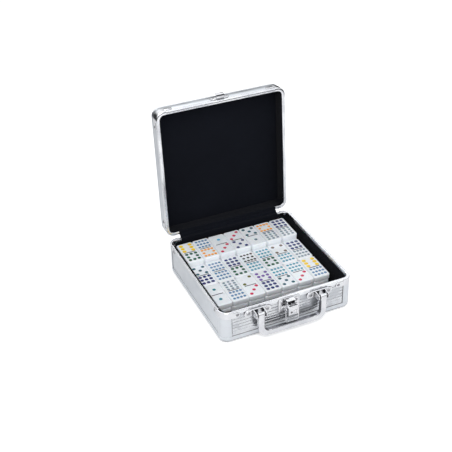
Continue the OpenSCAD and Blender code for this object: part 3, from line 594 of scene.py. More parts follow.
# one cell: its border, a pip's rim at radius r, rings at 0.93 r and 0.6 r on the way down, and the
# pip's lowest point; the numbers say which faces are painted
def pipCell(xs, ys, radius, top, start):
    border = around(xs, ys)
    n = len(border)
    flat = np.full((n, 1), top)
    if radius is None:
        return np.hstack([border, flat]), [list(range(start, start + n))], [0]
    mid = np.array([(xs[0] + xs[-1]) / 2, (ys[0] + ys[-1]) / 2])
    way = norm(border - mid) * radius
    deep = tile["pipDepth"]
    rings = [np.hstack([border, flat]), np.hstack([mid + way, flat]),
             np.hstack([mid + way * 0.93, flat - deep * 0.35]),
             np.hstack([mid + way * 0.6, flat - deep * 0.85])]
    points = np.concatenate(rings + [[[mid[0], mid[1], top - deep]]])
    i = np.arange(n)
    j = (i + 1) % n
    faces = (gridFaces(4, n, False, True) + start).tolist()
    faces += (np.stack([3 * n + i, 3 * n + j, np.full(n, 4 * n)], 1) + start).tolist()
    return points, faces, [0] * n + [1] * (3 * n)


# the sides of a domino: the flat top's border carried out and down over the rounded edges, where the
# inset is e(1 - sin a) at depth e(1 - cos a), and each corner is a fan of points about its own centre
def dominoSides(border, hx, hy, fan=5):
    top, edge = tile["height"], tile["edge"]
    counts = np.where(np.all(np.abs(border) == [hx, hy], axis=1), fan, 1)
    border = np.repeat(border, counts, 0)
    isCorner = np.repeat(counts > 1, counts)
    n = len(border)
    swing = np.zeros(n)
    swing[isCorner] = (np.radians([[-180], [-90], [0], [90]]) + np.linspace(0, math.pi / 2, fan)).ravel()
    turnOut = np.column_stack([np.cos(swing), np.sin(swing)])
    onLeftOrRight = np.abs(border[:, :1]) >= hx - 1e-9
    outwards = np.hstack([onLeftOrRight, ~onLeftOrRight])
    a = np.linspace(0, math.pi / 2, 4)
    levels = [(edge * (1 - math.sin(t)), top - edge * (1 - math.cos(t))) for t in a]
    levels += [(s, top - z) for s, z in levels[::-1]]
    loops = [np.column_stack([border, np.full(n, top)])]
    for s, z in levels:
        r = tile["corner"] - s
        reach = np.array([tile["width"] / 2 - s, tile["length"] / 2 - s])
        arcs = np.sign(border) * (reach - r) + turnOut * r
        # straight sides keep their place along the edge, drawn out to the new outline
        straight = np.where(outwards, np.sign(border) * reach, np.clip(border, r - reach, reach - r))
        loops.append(np.column_stack([np.where(isCorner[:, None], arcs, straight), np.full(n, z)]))
    faces = gridFaces(len(loops), n, False, True).tolist()
    faces.append([n * len(loops) - n + i for i in range(n)])
    return np.concatenate(loops), faces


# a domino: lattice squares in each half, a groove between the halves, rounded sides
def dominoShell(back, front):
    top, gap, cells = tile["height"], tile["lineHalf"], tile["cells"]
    hx, hy, n = tile["width"] / 2 - tile["border"], tile["length"] / 2 - tile["border"], cells + 1
    xs, ysBack, ysFront = [np.linspace(a, b, n) for a, b in ((-hx, hx), (gap, hy), (-hy, -gap))]
    points, faces, paint, start = [], [], [], 0
    for name, ys in ((back, ysBack), (front, ysFront)):
        number, colour, *size = name.split()
        strips = halfMarks[number.rstrip("t")].split()
        usual = tile["smallPipRadius"] if int(number.rstrip("t")) > 9 else tile["pipRadius"]
        radius = float(size[0]) if size else usual
        deep = cells // len(strips)
        for k, strip in enumerate(strips):
            wide = cells // len(strip)
            for c, mark in enumerate(strip):
                a, b = slice(c * wide, (c + 1) * wide + 1), slice(k * deep, (k + 1) * deep + 1)
                cell = (xs[b], ys[a]) if number.endswith("t") else (xs[a], ys[b])
                p, f, m = pipCell(*cell, radius if mark == "x" else None, top, start)
                points.append(p)
                faces += f
                paint += [colour if v else None for v in m]
                start += len(p)
    # the groove: its middle lies lower, except at both ends
    dip = np.where(np.abs(xs) < hx * 0.86, top - tile["lineDepth"], top)
    across = [(-gap, top), (-gap * 0.4, dip), (gap * 0.4, dip), (gap, top)]
    points.append(np.concatenate([np.column_stack([xs, xs * 0 + y, xs * 0 + z]) for y, z in across]))
    faces += (gridFaces(4, n) + start).tolist()
    paint += ([None] + ["line"] * (cells - 2) + [None]) * 3
    start += 4 * n
    ysAll = np.concatenate([ysFront, [-gap * 0.4, gap * 0.4], ysBack])
    side, sideFaces = dominoSides(around(xs, ysAll), hx, hy)
    points.append(side)
    faces += [[i + start for i in f] for f in sideFaces]
    paint += [None] * len(sideFaces)
    return np.concatenate(points), faces, paint


# points at the same place become one, and faces lose their doubled corners
def weld(points, faces, paint):
    key, inverse = np.unique(np.round(points, 4), axis=0, return_inverse=True)
    inverse = inverse.reshape(-1)
    kept, colours = [], []
    for f, c in zip(faces, paint):
        g = [int(inverse[i]) for i in f]
        g = [v for k, v in enumerate(g) if v != g[k - 1]]
        if len(set(g)) > 2 and len(set(g)) == len(g):
            kept.append(g)
            colours.append(c)
    return key, kept, colours


# a domino without pips, for the layers that are covered
def plainDomino():
    hx, hy = tile["width"] / 2, tile["length"] / 2
    points, faces = plate(roundedBox(-hx, -hy, hx, hy, tile["corner"], 6), tile["height"], tile["edge"])
    return points, faces, [None] * len(faces)


# how the dominoes stand in the case
stack = {
    "left": -92,
    "front": -64.2,
    "floor": 4.9,
    "columns": 7,
    "rows": 3,
    "coveredLayers": 3,
    "pitch": (25, 49.6, 8.45),  # from column to column, row to row and layer to layer
    "shifts": [(-0.5, 0.2), (-0.9, -0.2), (-1.3, 0.1), (0, 0), (0, 0)],  # of each layer
    "jitter": 0.12,
    "turn": 0.22,
}


# a domino at its place, a little off it and slightly turned, by chance
def strewn(points, column, row, level):
    a = math.radians(rng.uniform(-stack["turn"], stack["turn"]))
    pitch, shift, jitter = stack["pitch"], stack["shifts"][level], stack["jitter"]
    x = stack["left"] + (column + 0.5) * pitch[0] + shift[0]
    y = stack["front"] + (row + 0.5) * pitch[1] + shift[1]
    z = stack["floor"] + level * pitch[2]
    flat = points[:, :2] @ np.array([[math.cos(a), math.sin(a)], [-math.sin(a), math.cos(a)]])
    return np.column_stack([flat + [x, y] + rng.uniform(-jitter, jitter, 2), points[:, 2] + z])


# one layer: (row, the two halves of each of its dominoes), where None stands for a covered domino
def dominoPiece(name, level, body, node, rows):
    shells, tints, tones = [], [], []
    for row, dominoes in rows:
        for column, halves in enumerate(dominoes):
            points, faces, paint = weld(*dominoShell(*halves)) if halves else plainDomino()
            shells.append((strewn(points, column, row, level), faces))
            tints += [(*paints[c], 1.0) if c else (0, 0, 0, 0.0) for c in paint]
            tones += [rng.uniform(0, 1)] * len(points)
    return makePiece(name, shells, "domino_white", body, node, tint=np.array(tints), tone=tones)


dominoPiece("dominoes_raised_row", 4, "domino_top_row", "domino_top_row", [(2, rowBack)])
dominoPiece("dominoes_layer_4", 3, "domino_stack", "domino_layer_4",
            [(2, rowUnder), (1, rowMiddle), (0, rowFront)])
for level in range(stack["coveredLayers"]):
    dominoPiece(f"dominoes_layer_{level + 1}", level, "domino_stack", f"domino_layer_{level + 1}",
                [(row, [None] * stack["columns"]) for row in range(stack["rows"])])
print("dominoes made")


# a corner's path in plan: an arm along one wall, the arc, an arm along the next; and its outward normals
def cornerPath(quarter, arm=0.0, steps=13):
    a = np.radians(np.linspace(0, 90, steps) + 90 * quarter)
    n = np.stack([np.cos(a), np.sin(a)], 1)
    sx, sy = [(1, 1), (-1, 1), (-1, -1), (1, -1)][quarter]
    r = case["cornerRadius"]
    p = n * r + [sx * (case["halfWidth"] - r), sy * (case["halfDepth"] - r)]
    if arm:
        t = leftOf(n)
        p = np.concatenate([[p[0] - t[0] * arm], p, [p[-1] + t[-1] * arm]])
        n = np.concatenate([n[:1], n, n[-1:]])
    return p, n


# the four corners in a row, which go round the whole case
def ringPath():
    parts = [cornerPath(q) for q in range(4)]
    return np.concatenate([p for p, n in parts]), np.concatenate([n for p, n in parts])


# plan points (i, j) given the heights z(j)
def atHeights(xy, z):
    return np.concatenate([xy, np.broadcast_to(z[:, None], xy.shape[:2] + (1,))], 2)


# a section of (depth, height) carried along a path: point = path - normal * depth
def carried(section, path, ring=False):
    p, n = path
    s = np.asarray(section, float)
    return loft(atHeights(p[:, None] - n[:, None] * s[None, :, :1], s[:, 1]), ring)


# a wall's outward normal, its direction, its distance from the middle and half its length;
# wall 0 is the right one, and the others follow anticlockwise
def wallFrame(wall):
    a = math.radians(90 * wall)
    n, t = np.array([math.cos(a), math.sin(a)]), np.array([-math.sin(a), math.cos(a)])
    sizes = (case["halfWidth"], case["halfDepth"])
    return n, t, sizes[wall % 2], sizes[1 - wall % 2]


# a section carried straight along one wall, between two places that lie in from its ends by the cut
def alongWall(section, wall, cut, steps=12):
    n, t, half, length = wallFrame(wall)
    p = n * half + t * np.linspace(cut - length, length - cut, steps)[:, None]
    return carried(section, (p, np.broadcast_to(n, p.shape)))


band = {
    "lidTop": 19.85,
    "lidGroove": 6.2,
    "lidSkinTop": 23.8,
    "baseSkinTop": 49.2,
    "skinGap": 0.12,  # between the foot band and the corner sheets over it
    "skinArm": 2.0,
    "grooveDepth": 0.45,
}


# the foot of a wall: a rounded edge with a lip under the floor and a rolled upper edge
def bandSection(top, groove=None):
    r, t, deep = case["edgeRadius"], case["skin"], band["grooveDepth"]
    outer = [(r + 3, 0.0)] + arcPoints(r, r, r, 270, 180, 9).tolist()
    lip = [(0, top - 0.35), (0.1, top - 0.12), (0.32, top), (t - 0.15, top), (t, top - 0.2)]
    inner = arcPoints(r, r, r - t, 180, 270, 7).tolist() + [(r + 3, t)]
    if groove:
        outer += [(0, groove - 0.5), (0.08, groove - 0.3), (deep, groove - 0.12), (deep, groove + 0.12),
                  (0.08, groove + 0.3), (0, groove + 0.5)]
        inner = [(t + 0.1, groove + 0.6), (t + 0.1, groove - 0.6)] + inner
    return outer + lip + inner


# upright sheets round the four corners: a flat section from one height to another
def cornerSheets(low, top, radius, steps, arm=0.0):
    section = roundedBox(0, low, case["skin"], top, radius, steps)
    return [carried(section, cornerPath(q, arm)) for q in range(4)]


footBand = carried(bandSection(case["bandTop"]), ringPath(), True)
makePiece("base_foot_band", [footBand], "aluminium_skin", "base", "base_bottom_band")
lidBand = [carried(bandSection(band["lidTop"], band["lidGroove"]), ringPath(), True)]
lidBand += cornerSheets(band["lidTop"] - 0.4, band["lidSkinTop"], radius=0.15, steps=3)
makePiece("lid_edge_sheet", [asLid(s) for s in lidBand], "aluminium_skin", "lid", "lid_edge_band")
baseSheets = cornerSheets(case["bandTop"] + band["skinGap"], band["baseSkinTop"], radius=0.25, steps=4,
                          arm=band["skinArm"])
makePiece("base_corner_sheets", baseSheets, "aluminium_skin", "base", "base_corner_skins")

panel = {
    "reveal": 0.6,
    "low": 10.1,
    "high": 45.35,
    "ribs": 6,
    "ribPitch": 4.9,
    "crest": 0.1,
    "valley": 0.52,
    "plain": 0.32,
    "belly": 0.1,
    "back": 0.8,
    "borderFall": 0.55,
    "columns": 24,
    "rows": 97,
}


# a pressed wall panel: depth = valley - (valley - crest) * (1 - |2f - 1|^5) over the ribs, or a slight
# belly, plain - belly * sin, on the sides; both fall back at the border
def wallPanel(wall, ribbed):
    n, t, half, length = wallFrame(wall)
    low, high, reach = panel["low"], panel["high"], length - case["post"] - panel["reveal"]
    near = np.array([0, 0.15, 0.35, 0.6])  # rows close to the border carry its fall
    s = np.concatenate([near - reach, np.linspace(3 - reach, reach - 3, panel["columns"]),
                        reach - near[::-1]])
    z = np.concatenate([low + near, np.linspace(low + 1, high - 1, panel["rows"]), high - near[::-1]])
    if ribbed:
        f = (z - (low + (high - low - panel["ribs"] * panel["ribPitch"]) / 2)) / panel["ribPitch"]
        lift = np.where((f > 0) & (f < panel["ribs"]), 1 - np.abs(2 * (f % 1) - 1) ** 5, 0)
        face = panel["valley"] - (panel["valley"] - panel["crest"]) * lift
    else:
        face = panel["plain"] - panel["belly"] * np.sin(math.pi * (z - z[0]) / (z[-1] - z[0]))
    border = np.minimum(np.minimum(s - s[0], s[-1] - s)[:, None], np.minimum(z - z[0], z[-1] - z)[None, :])
    fall = 1 - ease(border / panel["borderFall"])
    depth = face[None, :] + (panel["back"] - 0.05 - face[None, :]) * fall
    outer, inner = [atHeights((half - d)[..., None] * n + s[:, None, None] * t, z)
                    for d in (depth, np.full_like(depth, panel["back"]))]
    return slab(outer, inner)


for name, wall in (("front", 3), ("back", 1)):
    makePiece(f"base_panel_{name}", [wallPanel(wall, True)], "aluminium_skin", "base", f"base_{name}_panel",
              mats=[panelMetal])
makePiece("base_panels_side", [wallPanel(0, False), wallPanel(2, False)], "aluminium_skin", "base",
          "base_side_panels")

rim = {
    "capLength": 15.0,
    "step": 0.22,
    "backDrop": 0.5,
    "sharp": 25,
    "capSkin": 0.5,
    "capArm": 3.0,
    "capSharp": 35,
    "earReach": 22.5,
    "earRadius": 4.0,
    "baseEar": 44.05,
    "lidEar": 16.45,
}


# the rim's channel: a stepped top face with a lip down each side
def rimSection(top, drop):
    w, t, e = case["rimWidth"], case["skin"], rim["step"]
    outer = [(0, top - 0.75), (0.12, top - 0.4), (0.4, top - e), (0.85, top - e), (1.02, top - 0.06),
             (1.2, top)]
    inner = [(w - x, z) for x, z in outer[::-1]]
    low = top - drop
    hollow = [(w, low + 0.6), (w - 0.8, low + 0.6), (w - 0.8, top - 1), (t, top - 1), (t, low)]
    return [(0, low)] + outer + inner + hollow


# the channel along the four walls, lower at the back to leave room for the cloth
def rimRuns(height):
    drops = [rim["backDrop"] if wall == 1 else 0 for wall in range(4)]
    return [alongWall(rimSection(height - case["gap"] - drop, case["rimDrop"] - drop), wall, rim["capLength"])
            for wall, drop in enumerate(drops)]


makePiece("base_rim_channel", rimRuns(case["baseHeight"]), "rim_metal", "base", "base_rim", rim["sharp"])
makePiece("lid_rim_channel", [asLid(s) for s in rimRuns(case["lidHeight"])], "rim_metal", "lid", "lid_rim",
          rim["sharp"])


# a corner cap: its section goes up the outside, over a domed top and down inside, carried round the
# corner; its ears are riveted plates with a bead round the rivet
def cornerCap(height, earZ, quarter):
    top = height - case["gap"]
    reach, r, skin = rim["earReach"], rim["earRadius"], rim["capSkin"]
    low, foot, w, out = earZ - r, top - case["rimDrop"], case["rimWidth"] + 0.3, -skin
    # the points just inside each bend keep the flat wall's shading flat
    section = [(out + 0.1, low), (out, low + 0.15), (out, low + 0.4), (out, top - 2.85), (out, top - 2.6),
               (out + 0.1, top - 2.3), (out + 0.1, top - 1.3)]
    section += arcPoints(out + 1.25, top - 1.15, 1.15, 172, 92, 6).tolist()
    section += arcPoints(w - 0.95, top - 0.95, 0.95, 88, 0, 6).tolist()
    section += [(w, foot + 0.1), (w - 0.1, foot), (w - 0.5, foot), (w - 0.55, top - 1.4), (0.4, top - 1.1),
                (0.0, top - 1.6), (0.0, low)]
    shells = [carried(section, cornerPath(quarter, rim["capArm"], 17))]
    start = rim["capLength"] - 0.3
    ear = np.concatenate([[[start, r]], arcPoints(reach, 0, r, 90, -90, 17), [[start, -r]]])
    bead = arcPoints(reach, 0, r - 1.1, 100, 460, 28)[:-1]
    for wall, mirror in ((quarter, 1), ((quarter + 1) % 4, -1)):
        n, t, half, length = wallFrame(wall)
        origin = np.append(n * half + t * length * mirror, earZ)
        for outline, thick, edge in ((ear, skin - 0.03, 0.2), (bead, skin + 0.15, 0.16)):
            shells.append(moved(plate(outline, thick, edge), origin, np.append(-t * mirror, 0), (0, 0, 1),
                                np.append(n, 0)))
    return shells


# a rivet as (radius, height) pairs: a domed head with a small hollow in its middle
rivet = [(0.06, 0.55), (0.42, 0.55), (0.62, 0.92), (0.95, 1.0), (1.45, 0.88), (1.95, 0.56), (2.22, 0.22),
         (2.3, 0.0), (0.06, -0.05)]


# a rivet's shell: its profile turned
def rivetShell():
    return turned(rivet, 24)


# the rivets through the caps' ears, two on each wall
def capRivets(z):
    shells = []
    reach, skin = rim["earReach"], rim["capSkin"]
    for s in (-1, 1):
        shells.append(onFront(rivetShell(), s * (case["halfWidth"] - reach), z, skin))
        shells.append(onBack(rivetShell(), s * (case["halfWidth"] - reach), z, skin))
        for side in (-1, 1):
            shells.append(onSide(rivetShell(), side, s * (case["halfDepth"] - reach), z, skin))
    return shells


baseCaps = [s for q in range(4) for s in cornerCap(case["baseHeight"], rim["baseEar"], q)]
lidCaps = [asLid(s) for q in range(4) for s in cornerCap(case["lidHeight"], rim["lidEar"], q)]
makePiece("base_corner_guards", baseCaps, "chrome", "base", "base_corner_caps", rim["capSharp"])
makePiece("lid_corner_guards", lidCaps, "chrome", "lid", "lid_corner_caps", rim["capSharp"])
makePiece("base_guard_rivets", capRivets(rim["baseEar"]), "rivet_steel", "base", "base_cap_rivets")
lidRivets = [openLid(s) for s in capRivets(case["baseHeight"] + case["lidHeight"] - rim["lidEar"])]
makePiece("lid_guard_rivets", lidRivets, "rivet_steel", "lid", "lid_cap_rivets")


# a rounded rectangle filled with a grid: each row is as wide as the outline is at its height, and its
# points crowd towards both ends by a sine
def filledPlan(inset, rows=60, cols=60, crowding=0.97):
    r = max(case["cornerRadius"] - inset, 1.0)
    hx, hy = case["halfWidth"] - inset, case["halfDepth"] - inset
    ends = hy - r * (1 - np.cos(math.pi / 2 - np.linspace(0, math.pi / 2, 9)))
    y = np.sort(np.concatenate([-ends[::-1], np.linspace(-hy + r, hy - r, rows)[1:-1], ends]))
    over = np.clip(np.abs(y) - (hy - r), 0, r)
    wide = hx - r + np.sqrt(np.maximum(r * r - over * over, 0)) + 1e-3
    u = np.sin(np.linspace(-1, 1, cols) * math.pi / 2 * crowding) / math.sin(math.pi / 2 * crowding)
    return u[None, :] * wide[:, None], np.broadcast_to(y[:, None], (len(y), cols))


# how far the points of such a plan are from its sides
def fromSides(x, y, inset):
    return np.minimum(case["halfWidth"] - inset - np.abs(x), case["halfDepth"] - inset - np.abs(y))


# slow waves: a sum of three sines with unlike directions, between -1 and 1
def waves(x, y, scale=1.0):
    first = np.sin(x * 0.071 * scale + 1.3 + 0.8 * np.sin(y * 0.043))
    return (first + np.sin(y * 0.063 * scale - x * 0.028 + 0.4) + np.sin((x + y) * 0.11 * scale + 2.2)) / 3


topPanel = {
    "inset": 8.05,
    "cells": 110,
    "border": 13,
    "borderWidth": 1.1,
    "borderDepth": 0.32,
    "edgeFall": 0.25,
    "edgeWidth": 0.5,
}


# the lid's top sheet: a shallow pressed border, borderDepth * exp(-((d - border) / borderWidth)^2) deep,
# where d is the distance from its sides, and an edge turned down by a smooth step
def topSheet():
    x, y = filledPlan(topPanel["inset"], topPanel["cells"], topPanel["cells"])
    d = fromSides(x, y, topPanel["inset"])
    pressed = topPanel["borderDepth"] * np.exp(-((d - topPanel["border"]) / topPanel["borderWidth"]) ** 2)
    fall = topPanel["edgeFall"] * (1 - ease(d / topPanel["edgeWidth"]))
    return slabOver(x, y, 0.02 + pressed + fall, case["skin"])


makePiece("lid_top_panel", [asLid(topSheet())], "aluminium_skin", "lid", "lid_top_sheet")
print("case sheets made")

cloth = {
    "thickness": 0.5,
    "billow": 0.32,
    "wallBillow": 0.22,
    "lidWallTop": 20.4,
    "baseWallTop": 45.9,
    "floor": 3.2,
    "tuck": 0.4,  # how far the floor's cloth goes under the walls' cloth
    "coverHalf": 79.0,
    "coverThickness": 0.34,
    "coverTurn": 2.85,  # its radius round the hinge line
    "coverLow": 40.9,
    "coverTop": 50.06,
    "coverFold": 0.8,
    "coverRipple": 0.07,
    "coverEdge": 0.06,
    "coverTaper": 0.8,  # width of the borders that thin out
}


# a floor of cloth glued over board: thickness plus slow waves on its free face, thinner at its sides
def floorCloth(inset):
    x, y = filledPlan(inset)
    floor, edge = cloth["floor"], 0.2
    z = floor + cloth["thickness"] + cloth["billow"] * (0.5 + 0.5 * waves(x, y))
    z = floor + edge + (z - floor - edge) * ease(fromSides(x, y, inset) / 2.0 + 0.15)
    return slabOver(x, y, z, floor + 0.02)


# a band of cloth round the walls, with slow waves in its free face that die out at its two borders
def wallCloth(top):
    low, back = cloth["floor"] + 0.05, case["liningFace"] - cloth["thickness"] + 0.02
    z = np.concatenate([[low, low + 0.15], np.linspace(low + 1, top - 1, 14), [top - 0.15, top]])
    path, normals = [], []
    for q in range(4):
        p, n = cornerPath(q, 0, 9)
        after = cornerPath((q + 1) % 4, 0, 9)[0][0]
        run = np.linspace(0, 1, 22)[1:-1, None]
        path += [p, p[-1] + (after - p[-1]) * run]
        normals += [n, np.broadcast_to(n[-1], (len(run), 2))]
    p, n = np.concatenate(path), np.concatenate(normals)
    girth = np.cumsum(np.linalg.norm(p - np.roll(p, 1, 0), axis=1))
    swell = waves(girth[:, None] * 1.7, z[None, :] * 3) * np.sin(math.pi * (z - low) / (top - low))[None, :]
    face = case["liningFace"] + cloth["wallBillow"] * swell
    face[:, [0, -1]] = back + 0.25
    outer, inner = [atHeights(p[:, None] - n[:, None] * d[..., None], z)
                    for d in (face, np.full_like(face, back))]
    # a ring of loops: up the free face, down the back
    return loft(np.concatenate([outer, inner[:, ::-1]], 1), True), float(girth[-1]), top - low


# the cloth of one half of the case, on its floor and on its walls
def liningPieces(body, place, wallTop, node):
    floorShell = place(floorCloth(case["liningFace"] - cloth["tuck"]))
    floorPiece = makePiece(body + "_floor_cloth", [floorShell], "black_lining", body, node)
    shell, girth, height = wallCloth(wallTop)
    wallPiece = makePiece(body + "_wall_cloth", [place(shell)], "black_lining", body)


liningPieces("base", asBase, cloth["baseWallTop"], "base_lining")
liningPieces("lid", asLid, cloth["lidWallTop"], "lid_lining")


# cloth over the hinge side, seen across it: up inside the base, over its rim, round the hinge line and
# over the lid's rim; spaced evenly, then given its thickness along the normal, thinner at the borders
def hingeCloth():
    y, z, fold, top = case["hingeY"], case["hingeZ"], cloth["coverFold"], cloth["coverTop"]
    inside, edge = case["halfDepth"] - case["rimWidth"] - 0.5, cloth["coverEdge"]
    base = np.concatenate([
        [(inside, cloth["coverLow"]), (inside, 45.0)], arcPoints(inside + fold, top - fold, fold, 180, 90, 6),
        [(inside + 2.4, top + 0.03), (case["halfDepth"] - 1.4, top)]])
    closed = base[::-1] * [1, -1] + [0, 2 * z]
    lid = openLid((np.column_stack([closed[:, 0] * 0, closed]), []))[0][:, 1:]
    line = np.concatenate([base, arcPoints(y, z, cloth["coverTurn"], 183.5, 84.0, 12), lid])
    t = np.concatenate([[0], np.cumsum(np.linalg.norm(np.diff(line, axis=0), axis=1))])
    even = np.linspace(0, t[-1], 64)
    line = np.stack([np.interp(even, t, line[:, 0]), np.interp(even, t, line[:, 1])], 1)
    out = leftOf(norm(np.gradient(line, axis=0)))
    x = np.linspace(-cloth["coverHalf"], cloth["coverHalf"], 90)
    ripple = cloth["coverRipple"] * waves(x[:, None] * 2.2, even[None, :] * 6)
    taper = (ease(np.minimum(x - x[0], x[-1] - x) / cloth["coverTaper"])[:, None]
             * ease(np.minimum(even, t[-1] - even) / cloth["coverTaper"]))
    faces = []
    for sign in (1, -1):
        d = sign * (edge + (cloth["coverThickness"] / 2 - edge) * taper) + ripple * taper
        yz = line[None] + out[None] * d[..., None]
        faces.append(np.concatenate([np.broadcast_to(x[:, None, None], yz.shape[:2] + (1,)), yz], 2))
    return slab(*faces), t[-1]


shell, coverLength = hingeCloth()
hingeCover = makePiece("hinge_side_cloth", [shell], "black_lining", None,
                       ["hinge_cover_base", "hinge_cover_lid"])
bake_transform(hingeCover)

pad = {
    "inset": 0.9,  # from the lining
    "low": 3.75,
    "edge": 0.25,
    "rise": 0.85,
    "round": 1.4,
    "dent": 0.06,
}


# the foam pad under the dominoes: a soft-edged slab, z = low + edge + rise * (1 - (1 - d)^3) near its
# border, less slow dents
def padShell():
    inset = case["liningFace"] + pad["inset"]
    x, y = filledPlan(inset, 70, 70)
    d = np.clip(fromSides(x, y, inset) / pad["round"], 0, 1)
    dents = pad["dent"] * (0.5 + 0.5 * waves(x, y, 2.3))
    return slabOver(x, y, pad["low"] + pad["edge"] + pad["rise"] * (1 - (1 - d) ** 3) - dents, pad["low"])


floorPad = makePiece("base_foam_pad", [padShell()], "black_lining", "base", "base_floor_pad", mats=[padCloth])
print("cloth made")

handle = {
    "span": 93.0,
    "width": 8.8,
    "thickness": 6.0,
    "sheet": 1.2,
    "low": 5.7,
    "bend": 13.0,
    "pinOut": 11.0,
    "pinZ": 42.6,
    "pinRadius": 1.3,
    "pinHalf": 8.1,
    "rollRadius": 3.0,
    "dome": 0.16,
    "shadeBelow": 4,  # from this far under the pins down, faces turned inwards are painted darker: painted shade
}


# the bail's outer and inner outlines at matching stations, from the right pin round to the left one
def bailOutlines():
    outer, inner = handle["span"] / 2 + handle["width"] / 2, handle["span"] / 2 - handle["width"] / 2
    low, r = handle["low"], handle["bend"]
    arm, bar = np.linspace(0, 1, 9)[:-1, None], np.linspace(0, 1, 12)[1:, None]
    outlines = []
    for x, foot, radius in ((outer, low, r), (inner, low + handle["width"], r - handle["width"] + 3)):
        pin, middle = np.array([x, handle["pinZ"]]), np.array([0, foot])
        bend = arcPoints(x - radius, foot + radius, radius, 0, -90, 15)
        half = np.concatenate([pin + (bend[0] - pin) * arm, bend, bend[-1] + (middle - bend[-1]) * bar])
        outlines.append(np.concatenate([half, half[-2::-1] * [-1, 1]]))
    return outlines


# the bail: a channel, open towards the case, carried round the U, with its front domed by
# 1 - (2u - 1)^2 across its width; and a strip rolled round the pin at each end
def bailShells():
    outer, inner = bailOutlines()
    w, t, pinOut, deep = handle["width"], handle["sheet"], handle["pinOut"], handle["thickness"] / 2
    back, front = pinOut - deep, pinOut + deep
    section = roundCorners([(0, back), (0, front), (w, front), (w, back), (w - t, back), (w - t, front - t),
                            (t, front - t), (t, back)], [0.3, 1.7, 1.7, 0.3, 0.3, 0.6, 0.6, 0.3], 6)
    share = section[:, 0] / w
    crown = np.where(section[:, 1] > front - 0.4, handle["dome"] * (1 - (2 * share - 1) ** 2), 0)
    xz = outer[:, None] + (inner - outer)[:, None] * share[None, :, None]
    y = np.broadcast_to(-case["halfDepth"] - section[:, 1] - crown, xz.shape[:2])
    strip = roundCorners([(0, 0), (w, 0), (w, -t), (0, -t)], [0.45, 0.45, 0.3, 0.3], 4)
    strip = strip + [0, handle["rollRadius"] + 0.02]
    rolls = [curled(strip, s * handle["span"] / 2 - w / 2, -case["halfDepth"] - pinOut, handle["pinZ"],
                    np.linspace(-4, 205, 18), -1) for s in (-1, 1)]
    return [loft(np.stack([xz[..., 0], y, xz[..., 1]], 2))] + rolls


bail = makePiece("handle_bail_sheet", bailShells(), "chrome", "handle", "handle_bail",
                 mats=[chromeMetal, shadedChrome])
# the faces turned to the middle of the U take a darker copy of the chrome, painted shade, from the hollow of
# the channel to its inner edge
facing, middle = np.zeros((2, len(bail.data.polygons) * 3))
bail.data.polygons.foreach_get("normal", facing)
bail.data.polygons.foreach_get("center", middle)
facing, middle = facing.reshape(-1, 3)[:, [0, 2]], middle.reshape(-1, 3)[:, [0, 2]]
inward = norm([0, handle["pinZ"] * 0.001] - middle)
lowEnough = middle[:, 1] < (handle["pinZ"] - handle["shadeBelow"]) * 0.001
dull = (np.sum(facing * inward, 1) > 0.5) & lowEnough
bail.data.polygons.foreach_set("material_index", dull.astype(np.int32))

bracket = {
    "z": 40.5,
    "pitch": 28.6,
    "plateRadius": 5.6,
    "plate": 1.0,
    "washerRadius": 3.4,
    "lipHalf": 13.0,
    "lipOut": 3.0,
    "top": 47.1,
    "cheekIn": 6.6,
    "cheek": 1.2,
}


# a flat washer: a plate with a round outline
def washer(radius):
    return plate(arcPoints(0, 0, radius, 0, 360, 29)[:-1], thickness=0.35, edge=0.25)


# the same outline cut from sheet and set upright on both sides of the middle, at x + inner and beyond
def cheekPair(outline, x, inner, thickness, edge):
    return [acrossFront(plate(outline, thickness, edge), x + (inner if s > 0 else -inner - thickness))
            for s in (-1, 1)]


# a pin lying along X: a shaft with a low dome on each end, its profile mirrored at the middle
def pinShell(x, out, z, radius, half, head=0.25):
    end = [(0.05, -half - 0.35), (radius * 0.6, -half - 0.28), (radius + head - 0.1, -half),
           (radius + head, -half + 0.25), (radius + head, -half + 0.75), (radius, -half + 0.85)]
    profile = end + [(r, -h) for r, h in end[::-1]]
    return alongX(turned(profile, 20), x, -case["halfDepth"] - out, z)


# one bracket: a plate with washers, a lip folded out along its top, and two cheeks round the pin
def bracketShells(x):
    z, r, half, thick = bracket["z"], bracket["plateRadius"], bracket["pitch"] / 2, bracket["plate"]
    top, out, lipHalf = bracket["top"], bracket["lipOut"], bracket["lipHalf"]
    rise, long = top - z, lipHalf - 0.6
    shoulders = roundCorners([(lipHalf + 0.6, rise - 0.9), (lipHalf - 0.4, rise), (0.4 - lipHalf, rise),
                              (-lipHalf - 0.6, rise - 0.9)], 0.5, 3)
    outline = np.concatenate([arcPoints(half, 0, r, -90, 62, 14), shoulders,
                              arcPoints(-half, 0, r, 118, 270, 14)])
    shells = [onFront(plate(outline, thick, 0.3), x, z)]
    shells += [onFront(washer(bracket["washerRadius"]), x + s * half, z, thick - 0.05) for s in (-1, 1)]
    lip = roundCorners([(0, top - 1.0), (0, top), (out, top), (out, top - 1.0)], [0.1, 0.55, 0.45, 0.45])
    shells.append(acrossFront(plate(lip, 2 * long, 0.3), x - long))
    py, pz = handle["pinOut"], handle["pinZ"]
    cheek = roundCorners([(0.2, z - 5), (0.2, top - 0.6), (out, top - 0.6), (py + 3.1, pz + 2.9),
                          (py + 3.1, pz - 3.4), (py + 0.4, pz - 5.2)], [0.3, 0.3, 4.5, 3.1, 2.4, 2.0], 8)
    return shells + cheekPair(cheek, x, bracket["cheekIn"], bracket["cheek"], 0.3)


